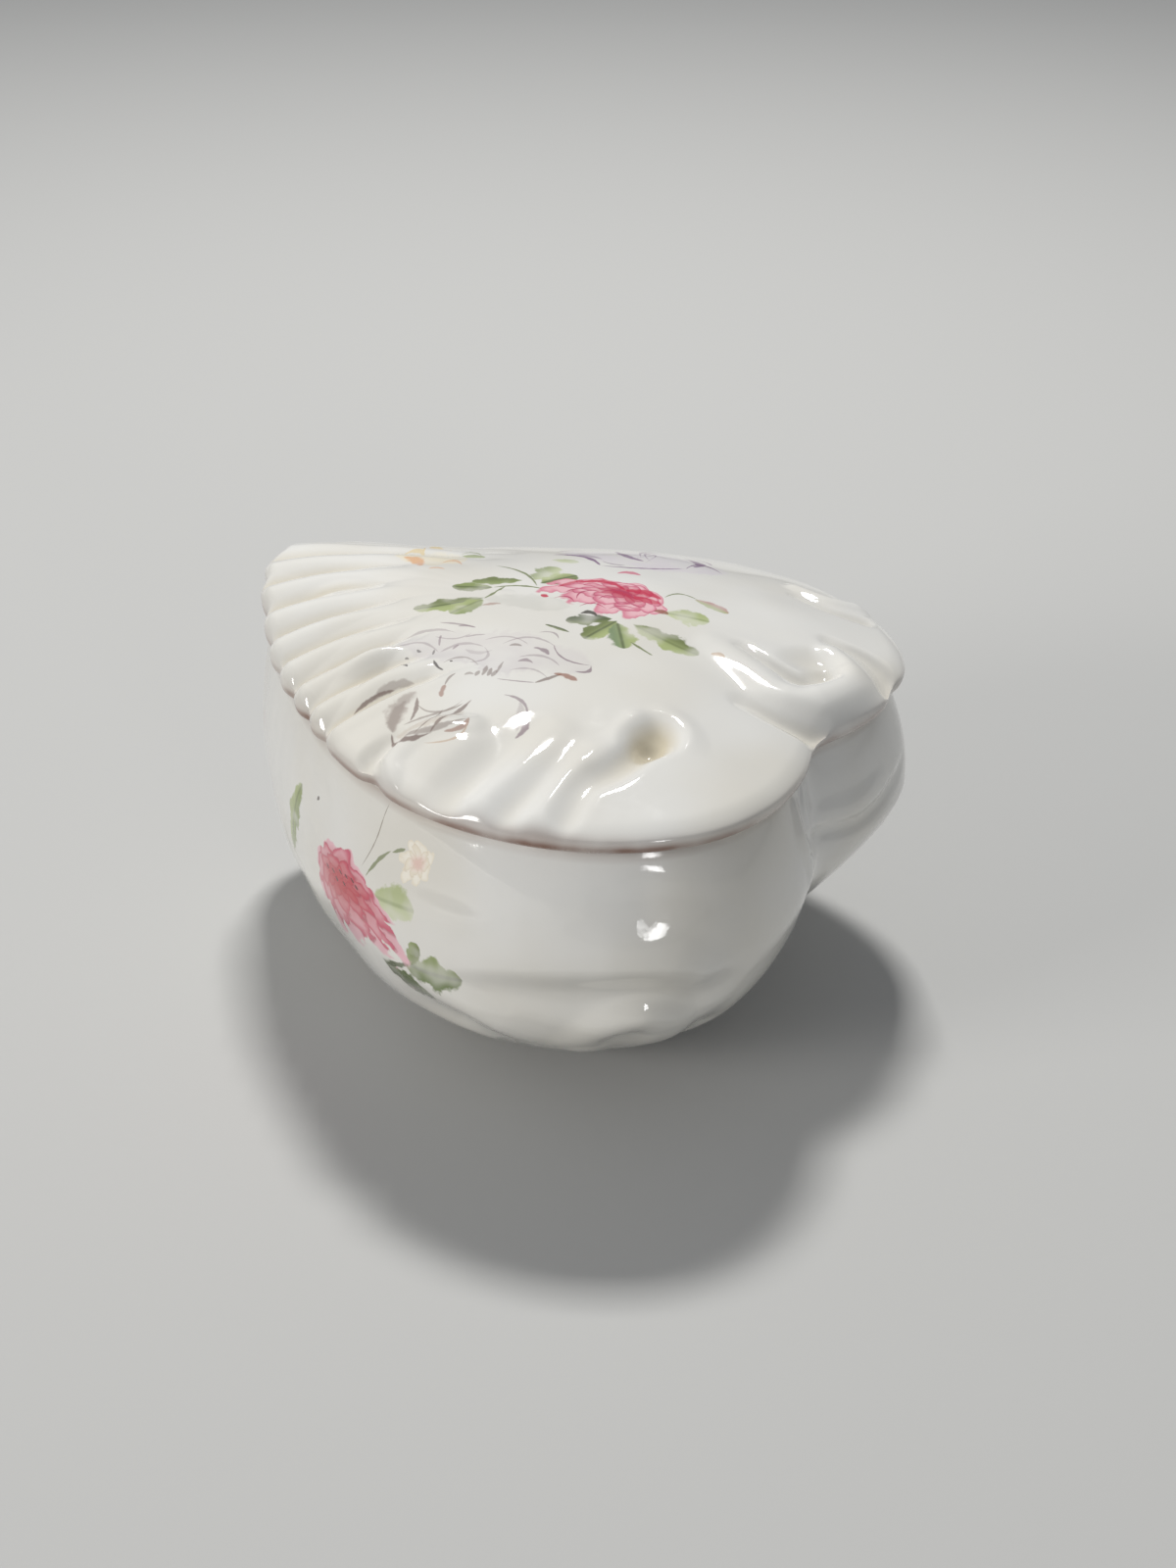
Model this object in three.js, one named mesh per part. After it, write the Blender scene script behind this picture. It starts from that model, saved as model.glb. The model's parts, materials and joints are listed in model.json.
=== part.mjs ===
// A heart-shaped porcelain trinket box: a hollow, bulbous base on a small foot, and a domed lid that lifts off,
// moulded with shell flutes at the heart's point and scrolls round its lobes.
// Millimetres, +Z up, standing on Z = 0. The heart's long axis is X, with its point at -X and its cleft at +X.

import * as THREE from "three";

// Driving dimensions of the outline
const LENGTH = 131.6; // lid, from the heart's point to its lobes, without the point's own reach
const WIDTH = 120; // lid, across the lobes
const FOOT_LENGTH = 74;
const FOOT_WIDTH = 61;
const FOOT_SHIFT = -4.6; // the foot's middle lies this far towards the point

// Driving dimensions of the base
const SEAT_HEIGHT = 63; // height of the flat rim that the lid rests on
const BELLY_DROP = 21; // the widest part of the base, below the seat
const BELLY_REACH = 2; // how far the belly stands out past the lid
const WALL = 3.6;
const FLOOR = 4.4; // thickness of the floor above the foot's recess
const FOOT_RING = 5; // width of the ring that the box stands on
const FOOT_RECESS = 1.6; // depth of the hollow inside that ring
const SEAT = 6; // width of the rim that the lid rests on
const TUCK = 13.5; // how far one lobe's underside is drawn in, below the belly
const TUCK_BEARING = 31; // degrees from the cleft
const TUCK_SPAN = 0.61;
const FOLD = 1.2; // depth of the soft fold round the base's front

// Driving dimensions of the lid
const OVERHANG = 2.8; // how far the lid's edge passes the seat
const LIP = 4.6; // thickness of the lid's edge
const DOME = 11.2; // rise of the crown above the edge
const LID_WALL = 4.6;
const POINT_LIFT = 4.5; // how much higher the edge stands at the heart's point
const POINT_REACH = 3; // how far the point stretches beyond the heart
const POINT_CURL = 4; // how far the point leans to one side
const FLANGE_DEPTH = 4.5; // the locating flange reaches this far into the base
const FLANGE_WALL = 2.6;
const FLANGE_GAP = 1.2; // clearance between the flange and the base's mouth

// Driving dimensions of the carving
const FLUTE_STEP = 4.2; // degrees from flute to flute, about the hub of the fan
const FLUTE_START = 3; // bearing of one valley
const FLUTE_DEPTH = 2.5;
const FLUTE_FADE = [84, 110]; // distances from the hub between which the flutes rise
const SCALLOP = 1.3; // how far each flute's valley cuts into the edge

// Fineness of the facets
const LID_SIDES = 156;
const BASE_SIDES = 96;

const TURN = 2 * Math.PI;
const DEGREE = Math.PI / 180;
const clamp = (value, low, high) => Math.min(high, Math.max(low, value));
const blend = (a, b, share) => a + (b - a) * share;
const bell = (offset, width) => Math.exp(-((offset / width) ** 2));

// A smooth step from 0 at low to 1 at high.
function ramp(value, low, high) {
  const t = clamp((value - low) / (high - low), 0, 1);
  return t * t * (3 - 2 * t);
}

// How far an angle lies from another, from -PI to PI.
function apart(angle, from) {
  const turned = (((angle - from) % TURN) + TURN) % TURN;
  return turned > Math.PI ? turned - TURN : turned;
}

// The plain heart, as a radius for each angle about its hub. Angle 0 is the cleft and PI the point.
const HEART = { long: 0.33, oval: 0.132, lobes: -0.026, point: 0.115, pointSpan: 0.3 };
const CLEFT = { depth: 0.235, span: 0.38, crease: 0.04, creaseSpan: 0.11 };

function heartRadius(angle, cleftShare, pointShare) {
  const round =
    1 + HEART.long * Math.cos(angle) + HEART.oval * Math.cos(2 * angle) + HEART.lobes * Math.cos(3 * angle);
  const turned = apart(angle, 0);
  const cleft = cleftShare * (CLEFT.depth * bell(turned, CLEFT.span) + CLEFT.crease * bell(turned, CLEFT.creaseSpan));
  const point = pointShare * HEART.point * bell(apart(angle, Math.PI), HEART.pointSpan);
  return round - cleft + point;
}

// A heart of a given length and width about the hub, as a function from an angle to a point in plan.
function heart(length, width, cleftShare = 1, pointShare = 1) {
  let front = 0;
  let back = 0;
  let side = 0;
  for (let i = 0; i < 360; i++) {
    const angle = (i / 360) * TURN;
    const radius = heartRadius(angle, cleftShare, pointShare);
    front = Math.min(front, radius * Math.cos(angle));
    back = Math.max(back, radius * Math.cos(angle));
    side = Math.max(side, radius * Math.sin(angle));
  }
  const scaleX = length / (back - front);
  const scaleY = width / (2 * side);
  return (angle) => {
    const radius = heartRadius(angle, cleftShare, pointShare);
    return [scaleX * radius * Math.cos(angle), scaleY * radius * Math.sin(angle)];
  };
}

const inset = (amount) => heart(LENGTH - 2 * amount, WIDTH - 2 * amount);
const footHeart = (amount) => heart(FOOT_LENGTH - 2 * amount, FOOT_WIDTH - 2 * amount, 0.65, 0.7);

// Where a place given in shares of the heart's half length and half width lies.
const place = ([along, across]) => [(along * LENGTH) / 2, (across * WIDTH) / 2];

// Ridges and grooves of the lid: a path in shares of the half length and half width, then half widths and
// heights from its start to its end. A groove has a height below zero.
const STROKES = [
  // hooked scroll beside the cleft, the groove it holds and the one outside it
  {
    path: [[0.66, 0.14], [0.8, 0.09], [0.91, 0.05], [0.99, 0.075], [1.035, 0.16], [1.05, 0.27], [1.01, 0.36], [0.93, 0.4]],
    wide: [3.5, 4, 5, 5.5, 5.5, 5, 4],
    high: [0.8, 1.8, 2.8, 3.2, 3, 2.4, 1.2],
  },
  { path: [[0.72, 0.2], [0.84, 0.17], [0.93, 0.18], [0.965, 0.26]], wide: [2.5, 3, 4], high: [-0.5, -1.4, -1.6] },
  { path: [[0.88, 0.47], [1, 0.49], [1.07, 0.46], [1.12, 0.4]], wide: [2.5, 3, 3.5], high: [-0.6, -1.6, -2.2] },
  // valley down into the cleft
  { path: [[0.86, -0.07], [0.97, -0.04], [1.08, 0]], wide: [4, 5, 6], high: [-0.6, -1.6, -2.6] },
  // notch between the flutes and the front scroll, and the scroll's own brim
  { path: [[0.135, -0.99], [0.1, -0.9], [0.14, -0.81]], wide: [4, 3], high: [-2.8, -0.8] },
  { path: [[0.2, -0.97], [0.17, -0.88], [0.22, -0.78], [0.32, -0.7]], wide: [4, 4], high: [1.4, 0.8] },
  // waves over the front lobe
  { path: [[0.46, -0.62], [0.44, -0.78], [0.4, -0.95]], wide: [4, 5], high: [-0.4, -1.6] },
  { path: [[0.53, -0.62], [0.53, -0.78], [0.5, -0.95]], wide: [4, 5.5], high: [0.5, 1.5] },
  { path: [[0.6, -0.66], [0.6, -0.8], [0.59, -0.93]], wide: [3.5, 4], high: [-0.4, -1.3] },
  { path: [[0.65, -0.62], [0.66, -0.78], [0.67, -0.92]], wide: [4, 5], high: [0.5, 1.2] },
  // tail of the teardrop hollow
  { path: [[0.77, -0.5], [0.75, -0.65], [0.71, -0.75], [0.72, -0.88]], wide: [4, 4], high: [-1.6, -0.8] },
  { path: [[0.7, -0.42], [0.69, -0.55], [0.66, -0.66]], wide: [4, 4], high: [1, 0.4] },
  // folds on the other lobe
  { path: [[0.62, 0.8], [0.74, 0.8], [0.84, 0.87]], wide: [2.6, 3.2], high: [0.8, 1.4] },
  { path: [[0.66, 0.73], [0.78, 0.72], [0.88, 0.76]], wide: [2.4, 3], high: [-0.6, -1.2] },
];

// Round or oval swellings and hollows: a place, the half sizes along and across its own direction, its direction
// in degrees, and its height.
const SWELLS = [
  { at: [0.29, -0.79], long: 12, across: 9, turned: -20, high: 2 }, // pillow of the front scroll
  { at: [0.76, -0.45], long: 7.5, across: 6, turned: 80, high: -3.2 }, // teardrop hollow
  { at: [0.8, -0.37], long: 9, across: 5, turned: -30, high: 1.2 }, // its raised brim
  { at: [-0.51, -0.18], long: 8, across: 3, turned: 27, high: 1.1 }, // beads between the flutes
  { at: [-0.15, -0.53], long: 8.5, across: 3.2, turned: 38, high: 1.3 },
  { at: [0.9, 0.3], long: 8, across: 6, turned: 50, high: -1.4 }, // pool inside the hook
];

// The value at a share of the way along a list of values.
function sample(values, share) {
  const position = share * (values.length - 1);
  const first = Math.min(Math.floor(position), values.length - 2);
  return blend(values[first], values[first + 1], position - first);
}

// Distance from a place to a path, and how far along the path the nearest part lies, from 0 to 1.
function nearest(path, x, y) {
  let best = Infinity;
  let along = 0;
  for (let i = 0; i + 1 < path.length; i++) {
    const [ax, ay] = path[i];
    const [bx, by] = path[i + 1];
    const [dx, dy] = [bx - ax, by - ay];
    const t = clamp(((x - ax) * dx + (y - ay) * dy) / (dx * dx + dy * dy), 0, 1);
    const distance = Math.hypot(x - ax - t * dx, y - ay - t * dy);
    if (distance < best) {
      best = distance;
      along = (i + t) / (path.length - 1);
    }
  }
  return [best, along];
}

const strokes = STROKES.map((stroke) => ({ ...stroke, path: stroke.path.map(place) }));
const swells = SWELLS.map((swell) => ({ ...swell, at: place(swell.at) }));
const fanHub = place([1.12, 0.78]);

// The flutes' height at a place, from 0 in a valley to 1 on a crest, and how strongly they show there.
function flute(x, y) {
  const bearing = Math.atan2(fanHub[1] - y, fanHub[0] - x) / DEGREE;
  const crest = (0.5 - 0.5 * Math.cos((TURN * (bearing - FLUTE_START)) / FLUTE_STEP)) ** 0.6;
  const strength = ramp(bearing, -4, 8) * (1 - ramp(bearing, 49, 53)) * (0.35 + 0.65 * ramp(bearing, 14, 24));
  return [crest, strength * ramp(Math.hypot(fanHub[0] - x, fanHub[1] - y), ...FLUTE_FADE)];
}

function relief(x, y, share) {
  const [crest, strength] = flute(x, y);
  let height = FLUTE_DEPTH * strength * (crest - 0.6) * ramp(share, 0.3, 0.8);
  for (const { path, wide, high } of strokes) {
    const [distance, along] = nearest(path, x, y);
    const reach = sample(wide, along);
    if (distance < reach) height += sample(high, along) * (1 - (distance / reach) ** 2) ** 2;
  }
  for (const { at, long, across, turned, high } of swells) {
    const [dx, dy] = [x - at[0], y - at[1]];
    const [c, s] = [Math.cos(turned * DEGREE), Math.sin(turned * DEGREE)];
    const away = ((dx * c + dy * s) / long) ** 2 + ((dy * c - dx * s) / across) ** 2;
    if (away < 1) height += high * (1 - away) ** 2;
  }
  return height;
}

// The lid's edge: the heart, with its point drawn out and curled, and scalloped where the flutes end.
const lidHeart = inset(0);

function lidEdge(angle) {
  const [x, y] = lidHeart(angle);
  const point = bell(apart(angle, Math.PI), 0.4);
  const [crest, strength] = flute(x, y);
  const notch = 1.6 * bell(apart(angle, -81 * DEGREE), 0.05) + 1.2 * bell(apart(angle, 20 * DEGREE), 0.05);
  const cut = 1 - (SCALLOP * strength * (1 - crest) + notch) / Math.hypot(x, y);
  return [(x - POINT_REACH * point) * cut, (y + POINT_CURL * point) * cut];
}

// How far the lid's rim lies above its plain height.
const pointLift = (angle) => POINT_LIFT * bell(apart(angle, Math.PI), 0.5);

function crown(share, angle) {
  return SEAT_HEIGHT + LIP + DOME * (1 - share ** 2.44) + pointLift(angle) * share ** 3;
}

// A closed solid through a chain of rings, from a pole at its start to a pole at its end.
function ringSolid(startPole, rings, endPole) {
  const sides = rings[0].length;
  const points = [startPole, ...rings.flat(), endPole];
  const last = points.length - 1;
  const at = (ring, side) => 1 + ring * sides + (side % sides);
  const faces = [];
  for (let side = 0; side < sides; side++) {
    faces.push(0, at(0, side + 1), at(0, side));
    for (let ring = 0; ring + 1 < rings.length; ring++) {
      const [a, b] = [at(ring, side), at(ring, side + 1)];
      const [d, c] = [at(ring + 1, side), at(ring + 1, side + 1)];
      faces.push(a, b, c, a, c, d);
    }
    faces.push(at(rings.length - 1, side), at(rings.length - 1, side + 1), last);
  }
  const geometry = new THREE.BufferGeometry();
  geometry.setAttribute("position", new THREE.Float32BufferAttribute(points.flat(), 3));
  geometry.setIndex(faces);
  geometry.computeVertexNormals();
  return geometry;
}

// Angles round the heart, closer together where the carving is fine.
function sideAngles(count, fineness) {
  const steps = 2000;
  const sums = [0];
  for (let i = 0; i < steps; i++) {
    const [x0, y0] = lidHeart((i / steps) * TURN);
    const [x1, y1] = lidHeart(((i + 1) / steps) * TURN);
    sums.push(sums[i] + Math.hypot(x1 - x0, y1 - y0) * fineness(apart((i / steps) * TURN, 0)));
  }
  const angles = [];
  let i = 0;
  for (let side = 0; side < count; side++) {
    const target = (side / count) * sums[steps];
    while (sums[i + 1] < target) i++;
    angles.push(((i + (target - sums[i]) / (sums[i + 1] - sums[i])) / steps) * TURN);
  }
  return angles;
}

const ring = (outline, height, angles) => angles.map((angle) => [...outline(angle), height]);

// The base's wall at a share of the way up from the foot to the belly, grown by some reach.
function bowl(share, grow) {
  const wide = inset(-BELLY_REACH - grow);
  const narrow = footHeart(-grow);
  const spread = (1 - (1 - share) ** 2.48) ** 0.81;
  const drawn = 3.5 * TUCK * (1 - share) ** 1.5 * share ** 0.6;
  return (angle) => {
    const [xw, yw] = wide(angle);
    const [xn, yn] = narrow(angle);
    const tuck = drawn * bell(apart(angle, TUCK_BEARING * DEGREE), TUCK_SPAN);
    const fold = FOLD * bell(share, 0.62) * (1 - share) * bell(apart(angle, -65 * DEGREE), 0.9);
    const radius = Math.hypot(blend(xn, xw, spread), blend(yn, yw, spread));
    const cut = 1 - (tuck + fold) / radius;
    return [blend(xn + FOOT_SHIFT, xw, spread) * cut, blend(yn, yw, spread) * cut];
  };
}

// The base's shoulder, from the belly up to the seat, grown by some reach.
const shoulder = (share, grow) => inset(-blend(BELLY_REACH, -OVERHANG, share ** 2) - grow);

function baseGeometry() {
  const angles = sideAngles(BASE_SIDES, (angle) => 1 + 0.8 * bell(angle, 0.5));
  const belly = SEAT_HEIGHT - BELLY_DROP;
  const floor = FOOT_RECESS + FLOOR;
  const shiftedFoot = (amount) => (angle) => {
    const [x, y] = footHeart(amount)(angle);
    return [x + FOOT_SHIFT, y];
  };
  const rings = [];
  rings.push(ring(shiftedFoot(FOOT_RING + FOOT_RECESS), FOOT_RECESS, angles));
  rings.push(ring(shiftedFoot(FOOT_RING), 0, angles));
  for (const share of [0, 0.05, 0.14, 0.26, 0.4, 0.58, 0.78, 1]) {
    rings.push(ring(bowl(share, 0), belly * share, angles));
  }
  for (const share of [0.35, 0.65, 0.87, 1]) {
    rings.push(ring(shoulder(share, 0), blend(belly, SEAT_HEIGHT, share), angles));
  }
  rings.push(ring(inset(OVERHANG + SEAT), SEAT_HEIGHT, angles));
  rings.push(ring(shoulder(0.6, -WALL), blend(belly, SEAT_HEIGHT - SEAT, 0.75), angles));
  for (const share of [1, 0.7, 0.42, 0.2, 0.06]) {
    rings.push(ring(bowl(share, -WALL), blend(floor, belly, share), angles));
  }
  return ringSolid([0, 0, FOOT_RECESS], rings, [0, 0, floor]);
}

function lidGeometry() {
  const angles = sideAngles(LID_SIDES, (angle) => 1 + 0.7 * bell(angle + 2.2, 0.8) + 0.6 * bell(angle, 0.5));
  const flangeOuter = inset(OVERHANG + SEAT + FLANGE_GAP);
  const flangeInner = inset(OVERHANG + SEAT + FLANGE_GAP + FLANGE_WALL);
  const vault = (share) =>
    angles.map((angle) => {
      const [x, y] = flangeInner(angle);
      return [x * share, y * share, crown(share * 0.85, angle) - LID_WALL];
    });
  const overEdge = (share, height) => angles.map((angle) => [...lidEdge(angle).map((v) => v * share), height(angle)]);
  const rings = [vault(0.5), vault(0.8)];
  rings.push(ring(flangeInner, SEAT_HEIGHT + LIP / 2, angles));
  rings.push(ring(flangeInner, SEAT_HEIGHT - FLANGE_DEPTH, angles));
  rings.push(ring(flangeOuter, SEAT_HEIGHT - FLANGE_DEPTH, angles));
  rings.push(ring(flangeOuter, SEAT_HEIGHT, angles));
  rings.push(ring(inset(OVERHANG), SEAT_HEIGHT, angles));
  rings.push(overEdge(0.985, (angle) => SEAT_HEIGHT + 0.5 + 0.6 * pointLift(angle)));
  rings.push(overEdge(1, (angle) => SEAT_HEIGHT + LIP * 0.6 + pointLift(angle) * 0.9));
  for (const share of [0.97, 0.91, 0.84, 0.77, 0.69, 0.6, 0.5, 0.38, 0.22]) {
    rings.push(
      angles.map((angle) => {
        const [x, y] = lidEdge(angle).map((v) => v * share);
        return [x, y, crown(share, angle) + relief(x, y, share)];
      }),
    );
  }
  return ringSolid([0, 0, crown(0, 0) - LID_WALL], rings, [0, 0, crown(0, 0)]);
}

const porcelain = () => new THREE.MeshStandardMaterial({ color: 0xe9e7e2, roughness: 0.12, metalness: 0 });

const box = new THREE.Group();
for (const [name, geometry] of [
  ["base", baseGeometry()],
  ["lid", lidGeometry()],
]) {
  const mesh = new THREE.Mesh(geometry, porcelain());
  mesh.name = name;
  box.add(mesh);
}

// The plan is centred on the origin.
const middle = new THREE.Box3().setFromObject(box).getCenter(new THREE.Vector3());
for (const mesh of box.children) mesh.geometry.translate(-middle.x, -middle.y, 0);

export default box;
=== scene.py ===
# %% [markdown]
# # A heart-shaped porcelain trinket box
# The real box is two pieces of slip-cast porcelain: a bulbous, heart-shaped base on a small foot, and a domed lid
# moulded with shell flutes and scrolls. Both carry hand-tinted flowers under a thick, glossy glaze.
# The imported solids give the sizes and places. Everything here is built on them, in metres, in the same frame.

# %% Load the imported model
import json
import math

import bpy
import numpy as np
from mathutils import Matrix, Vector

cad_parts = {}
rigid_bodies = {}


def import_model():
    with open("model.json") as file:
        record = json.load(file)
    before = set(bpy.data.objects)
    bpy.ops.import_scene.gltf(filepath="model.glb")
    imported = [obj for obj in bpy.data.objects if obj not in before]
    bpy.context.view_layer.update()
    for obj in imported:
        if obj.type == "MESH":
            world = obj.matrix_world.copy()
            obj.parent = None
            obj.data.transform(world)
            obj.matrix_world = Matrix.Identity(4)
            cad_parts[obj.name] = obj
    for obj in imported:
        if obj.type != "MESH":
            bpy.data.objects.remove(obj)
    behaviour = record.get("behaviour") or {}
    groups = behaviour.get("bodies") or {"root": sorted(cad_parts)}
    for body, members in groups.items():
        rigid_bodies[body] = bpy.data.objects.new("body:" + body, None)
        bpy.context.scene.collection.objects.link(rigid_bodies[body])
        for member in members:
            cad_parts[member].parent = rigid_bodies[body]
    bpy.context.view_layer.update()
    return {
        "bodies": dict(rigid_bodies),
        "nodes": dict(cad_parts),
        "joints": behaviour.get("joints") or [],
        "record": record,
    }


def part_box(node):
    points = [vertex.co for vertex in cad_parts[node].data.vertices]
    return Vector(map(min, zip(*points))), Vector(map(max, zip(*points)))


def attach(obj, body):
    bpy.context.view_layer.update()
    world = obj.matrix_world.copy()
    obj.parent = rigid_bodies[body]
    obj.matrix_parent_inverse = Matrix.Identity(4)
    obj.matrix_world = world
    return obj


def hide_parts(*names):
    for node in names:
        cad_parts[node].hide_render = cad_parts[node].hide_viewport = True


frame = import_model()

base_low, base_high = [np.array(corner, float) * 1000 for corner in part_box("base")]
lid_low, lid_high = [np.array(corner, float) * 1000 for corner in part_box("lid")]


def placed(name, data):
    made = bpy.data.objects.new(name, data)
    bpy.context.scene.collection.objects.link(made)
    return made


print("base", base_low.round(2), base_high.round(2), "lid", lid_low.round(2), lid_high.round(2))

# %% [markdown]
# ## The camera
# The photograph looks down on the box at about thirty degrees, past its near lobe. The camera stands 44 cm away, with
# a lens that gives the same perspective. It is placed first, so that each piece can be judged as it is made.

# %% Camera
CAMERA_PLACE = (0.206706, -0.323207, 0.259365)
CAMERA_RIGHT, CAMERA_UP = Vector((0.85239, 0.52275, 0.01251)), Vector((-0.27092, 0.42103, 0.86564))
camera_data = bpy.data.cameras.new("camera")
camera_data.sensor_fit = "VERTICAL"
camera_data.sensor_height = 36
camera_data.lens = 49.5
camera_data.clip_start = 0.01
camera = placed("camera", camera_data)
axes = Matrix((CAMERA_RIGHT, CAMERA_UP, CAMERA_RIGHT.cross(CAMERA_UP))).transposed().to_4x4()
camera.matrix_world = Matrix.Translation(CAMERA_PLACE) @ axes
bpy.context.scene.camera = camera
print("camera", tuple(round(v, 3) for v in camera.location))

# %% [markdown]
# ## The heart
# Both pieces follow one outline: a heart given as a radius for each angle about a hub, with the cleft at angle 0 and
# the point opposite. A drawn curve could be traced instead, but a rule keeps base, lid, flange and foot in step with
# each other, because each is the same heart at another size. Sizes are in millimetres.

# %% Outline of the heart
TURN = 2 * np.pi
DEGREE = np.pi / 180
LENGTH, WIDTH = 131.6, 120.0
SEAT_HEIGHT, OVERHANG, SEAT = 63.0, 2.8, 6.0
# waves of the outline for one, two and three turns, then depth and half angle of each dip or bump
HEART_WAVES = 0.33, 0.132, -0.026
CLEFT, CLEFT_NIP, POINT = (0.235, 0.38), (0.04, 0.11), (0.115, 0.3)


def bell(offset, width):
    return np.exp(-((offset / width) ** 2))


def ramp(value, low, high):
    t = np.clip((value - low) / (high - low), 0, 1)
    return t * t * (3 - 2 * t)


def blend(a, b, share):
    return a + (b - a) * share


def apart(angle, origin):
    return (angle - origin + np.pi) % TURN - np.pi


def heart_radius(angle, cleft_share, point_share):
    once, twice, thrice = HEART_WAVES
    plain = 1 + once * np.cos(angle) + twice * np.cos(2 * angle) + thrice * np.cos(3 * angle)
    cleft, nip = [depth * bell(apart(angle, 0), span) for depth, span in (CLEFT, CLEFT_NIP)]
    return plain - cleft_share * (cleft + nip) + point_share * POINT[0] * bell(apart(angle, np.pi), POINT[1])


def heart(length, width, cleft_share=1.0, point_share=1.0):
    def drawn(angle):
        radius = heart_radius(angle, cleft_share, point_share)
        return radius * np.cos(angle), radius * np.sin(angle)

    along, across = drawn(np.arange(360) / 360 * TURN)
    scale_x, scale_y = length / np.ptp(along), width / (2 * across.max())

    def outline(angle):
        radius = heart_radius(angle, cleft_share, point_share)
        return np.stack([scale_x * radius * np.cos(angle), scale_y * radius * np.sin(angle)], -1)

    return outline


def inset(amount):
    return heart(LENGTH - 2 * amount, WIDTH - 2 * amount)


def angles_round(count, fineness):
    """Angles for the sides of a ring, closer together where the fineness is high."""
    turn = np.linspace(0, TURN, 4001)
    steps = np.hypot(*np.diff(inset(0)(turn), axis=0).T) * fineness(apart(turn[:-1], 0))
    sums = np.concatenate([[0], np.cumsum(steps)])
    return np.interp(np.arange(count) / count * sums[-1], sums, turn)


print("outline", inset(0)(np.array([0, np.pi / 2, np.pi])).round(1).tolist())

# %% [markdown]
# ## The base's form
# The base was cast in a mould, so its wall is one soft surface: it swells out from the foot to a belly below the rim,
# draws in under one lobe, and turns over to a flat seat that carries the lid. It is made as a stack of hearts, from
# the hollow of the foot, up the outside, over the rim, and down the inside to the floor.

# %% Profile of the base
BELLY_DROP, BELLY_REACH, WALL = 21.0, 2.0, 3.6
FLOOR, FOOT_LENGTH, FOOT_WIDTH, FOOT_RECESS = 4.4, 74.0, 61.0, 1.6
FOOT_CLEFT, FOOT_POINT = 0.65, 0.7  # the foot's heart is softer than the rim's
TUCK, TUCK_BEARING, TUCK_SPAN = 13.5, 31.0, 0.61
FOLD, FOLD_BEARING, FOLD_SPAN = 1.2, -65.0, 0.9
BELLY = SEAT_HEIGHT - BELLY_DROP
FOOT_SHIFT = np.array([-4.6, 0.0])


def foot(amount):
    return heart(FOOT_LENGTH - 2 * amount, FOOT_WIDTH - 2 * amount, FOOT_CLEFT, FOOT_POINT)


def bowl(share, grow, angle):
    """The wall from the foot, at share 0, to the belly, at share 1."""
    wide, narrow = inset(-BELLY_REACH - grow)(angle), foot(-grow)(angle)
    spread = (1 - (1 - share) ** 2.48) ** 0.81
    tuck = 3.5 * TUCK * (1 - share) ** 1.5 * share**0.6 * bell(apart(angle, TUCK_BEARING * DEGREE), TUCK_SPAN)
    fold = FOLD * bell(share, 0.62) * (1 - share) * bell(apart(angle, FOLD_BEARING * DEGREE), FOLD_SPAN)
    cut = 1 - (tuck + fold) / np.linalg.norm(blend(narrow, wide, spread), axis=-1)
    return blend(narrow + FOOT_SHIFT, wide, spread) * cut[..., None]


def shoulder(share, grow, angle):
    """The wall from the belly, at share 0, to the rim, at share 1."""
    return inset(-blend(BELLY_REACH, -OVERHANG, share**2) - grow)(angle)


def ring(outline, height):
    return np.concatenate([outline, np.broadcast_to(np.reshape(height, (-1, 1)), (len(outline), 1))], 1)


print("belly at", BELLY, "mm")

# %% [markdown]
# ## Soft folds in the base
# Pressed clay keeps soft folds: one runs round the front below the belly, a few lumps sit above the foot, and an
# S-shaped fold runs down the cleft. They could be sculpted, but a list of strokes is easier to read and to change.
# Each stroke is a path over the unrolled wall, as angle and height, with a half width and a height of its own.

# %% Strokes over a surface
def smooth_path(path, steps=8):
    """A curve through the points of a path."""
    path = np.array(path, float)
    padded = np.concatenate([2 * path[:1] - path[1:2], path, 2 * path[-1:] - path[-2:-1]])
    points = []
    for i in range(len(path) - 1):
        a, b, c, d = padded[i : i + 4]
        for t in np.arange(steps) / steps:
            bend = (2 * a - 5 * b + 4 * c - d) * t**2
            points.append(0.5 * (2 * b + (c - a) * t + bend + (3 * b - a - 3 * c + d) * t**3))
    return np.array(points + [path[-1]])


def stroke_height(places, path, wide, high):
    path = smooth_path(path)
    best, along = np.full(places.shape[:-1], np.inf), np.zeros(places.shape[:-1])
    for i in range(len(path) - 1):
        step = path[i + 1] - path[i]
        t = np.clip(((places - path[i]) @ step) / (step @ step), 0, 1)
        distance = np.linalg.norm(places - path[i] - t[..., None] * step, axis=-1)
        nearer = distance < best
        best, along = np.where(nearer, distance, best), np.where(nearer, (i + t) / (len(path) - 1), along)
    reach, tall = [np.interp(along, np.linspace(0, 1, len(values)), values) for values in (wide, high)]
    return tall * np.clip(1 - (best / reach) ** 2, 0, 1) ** 2


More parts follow.
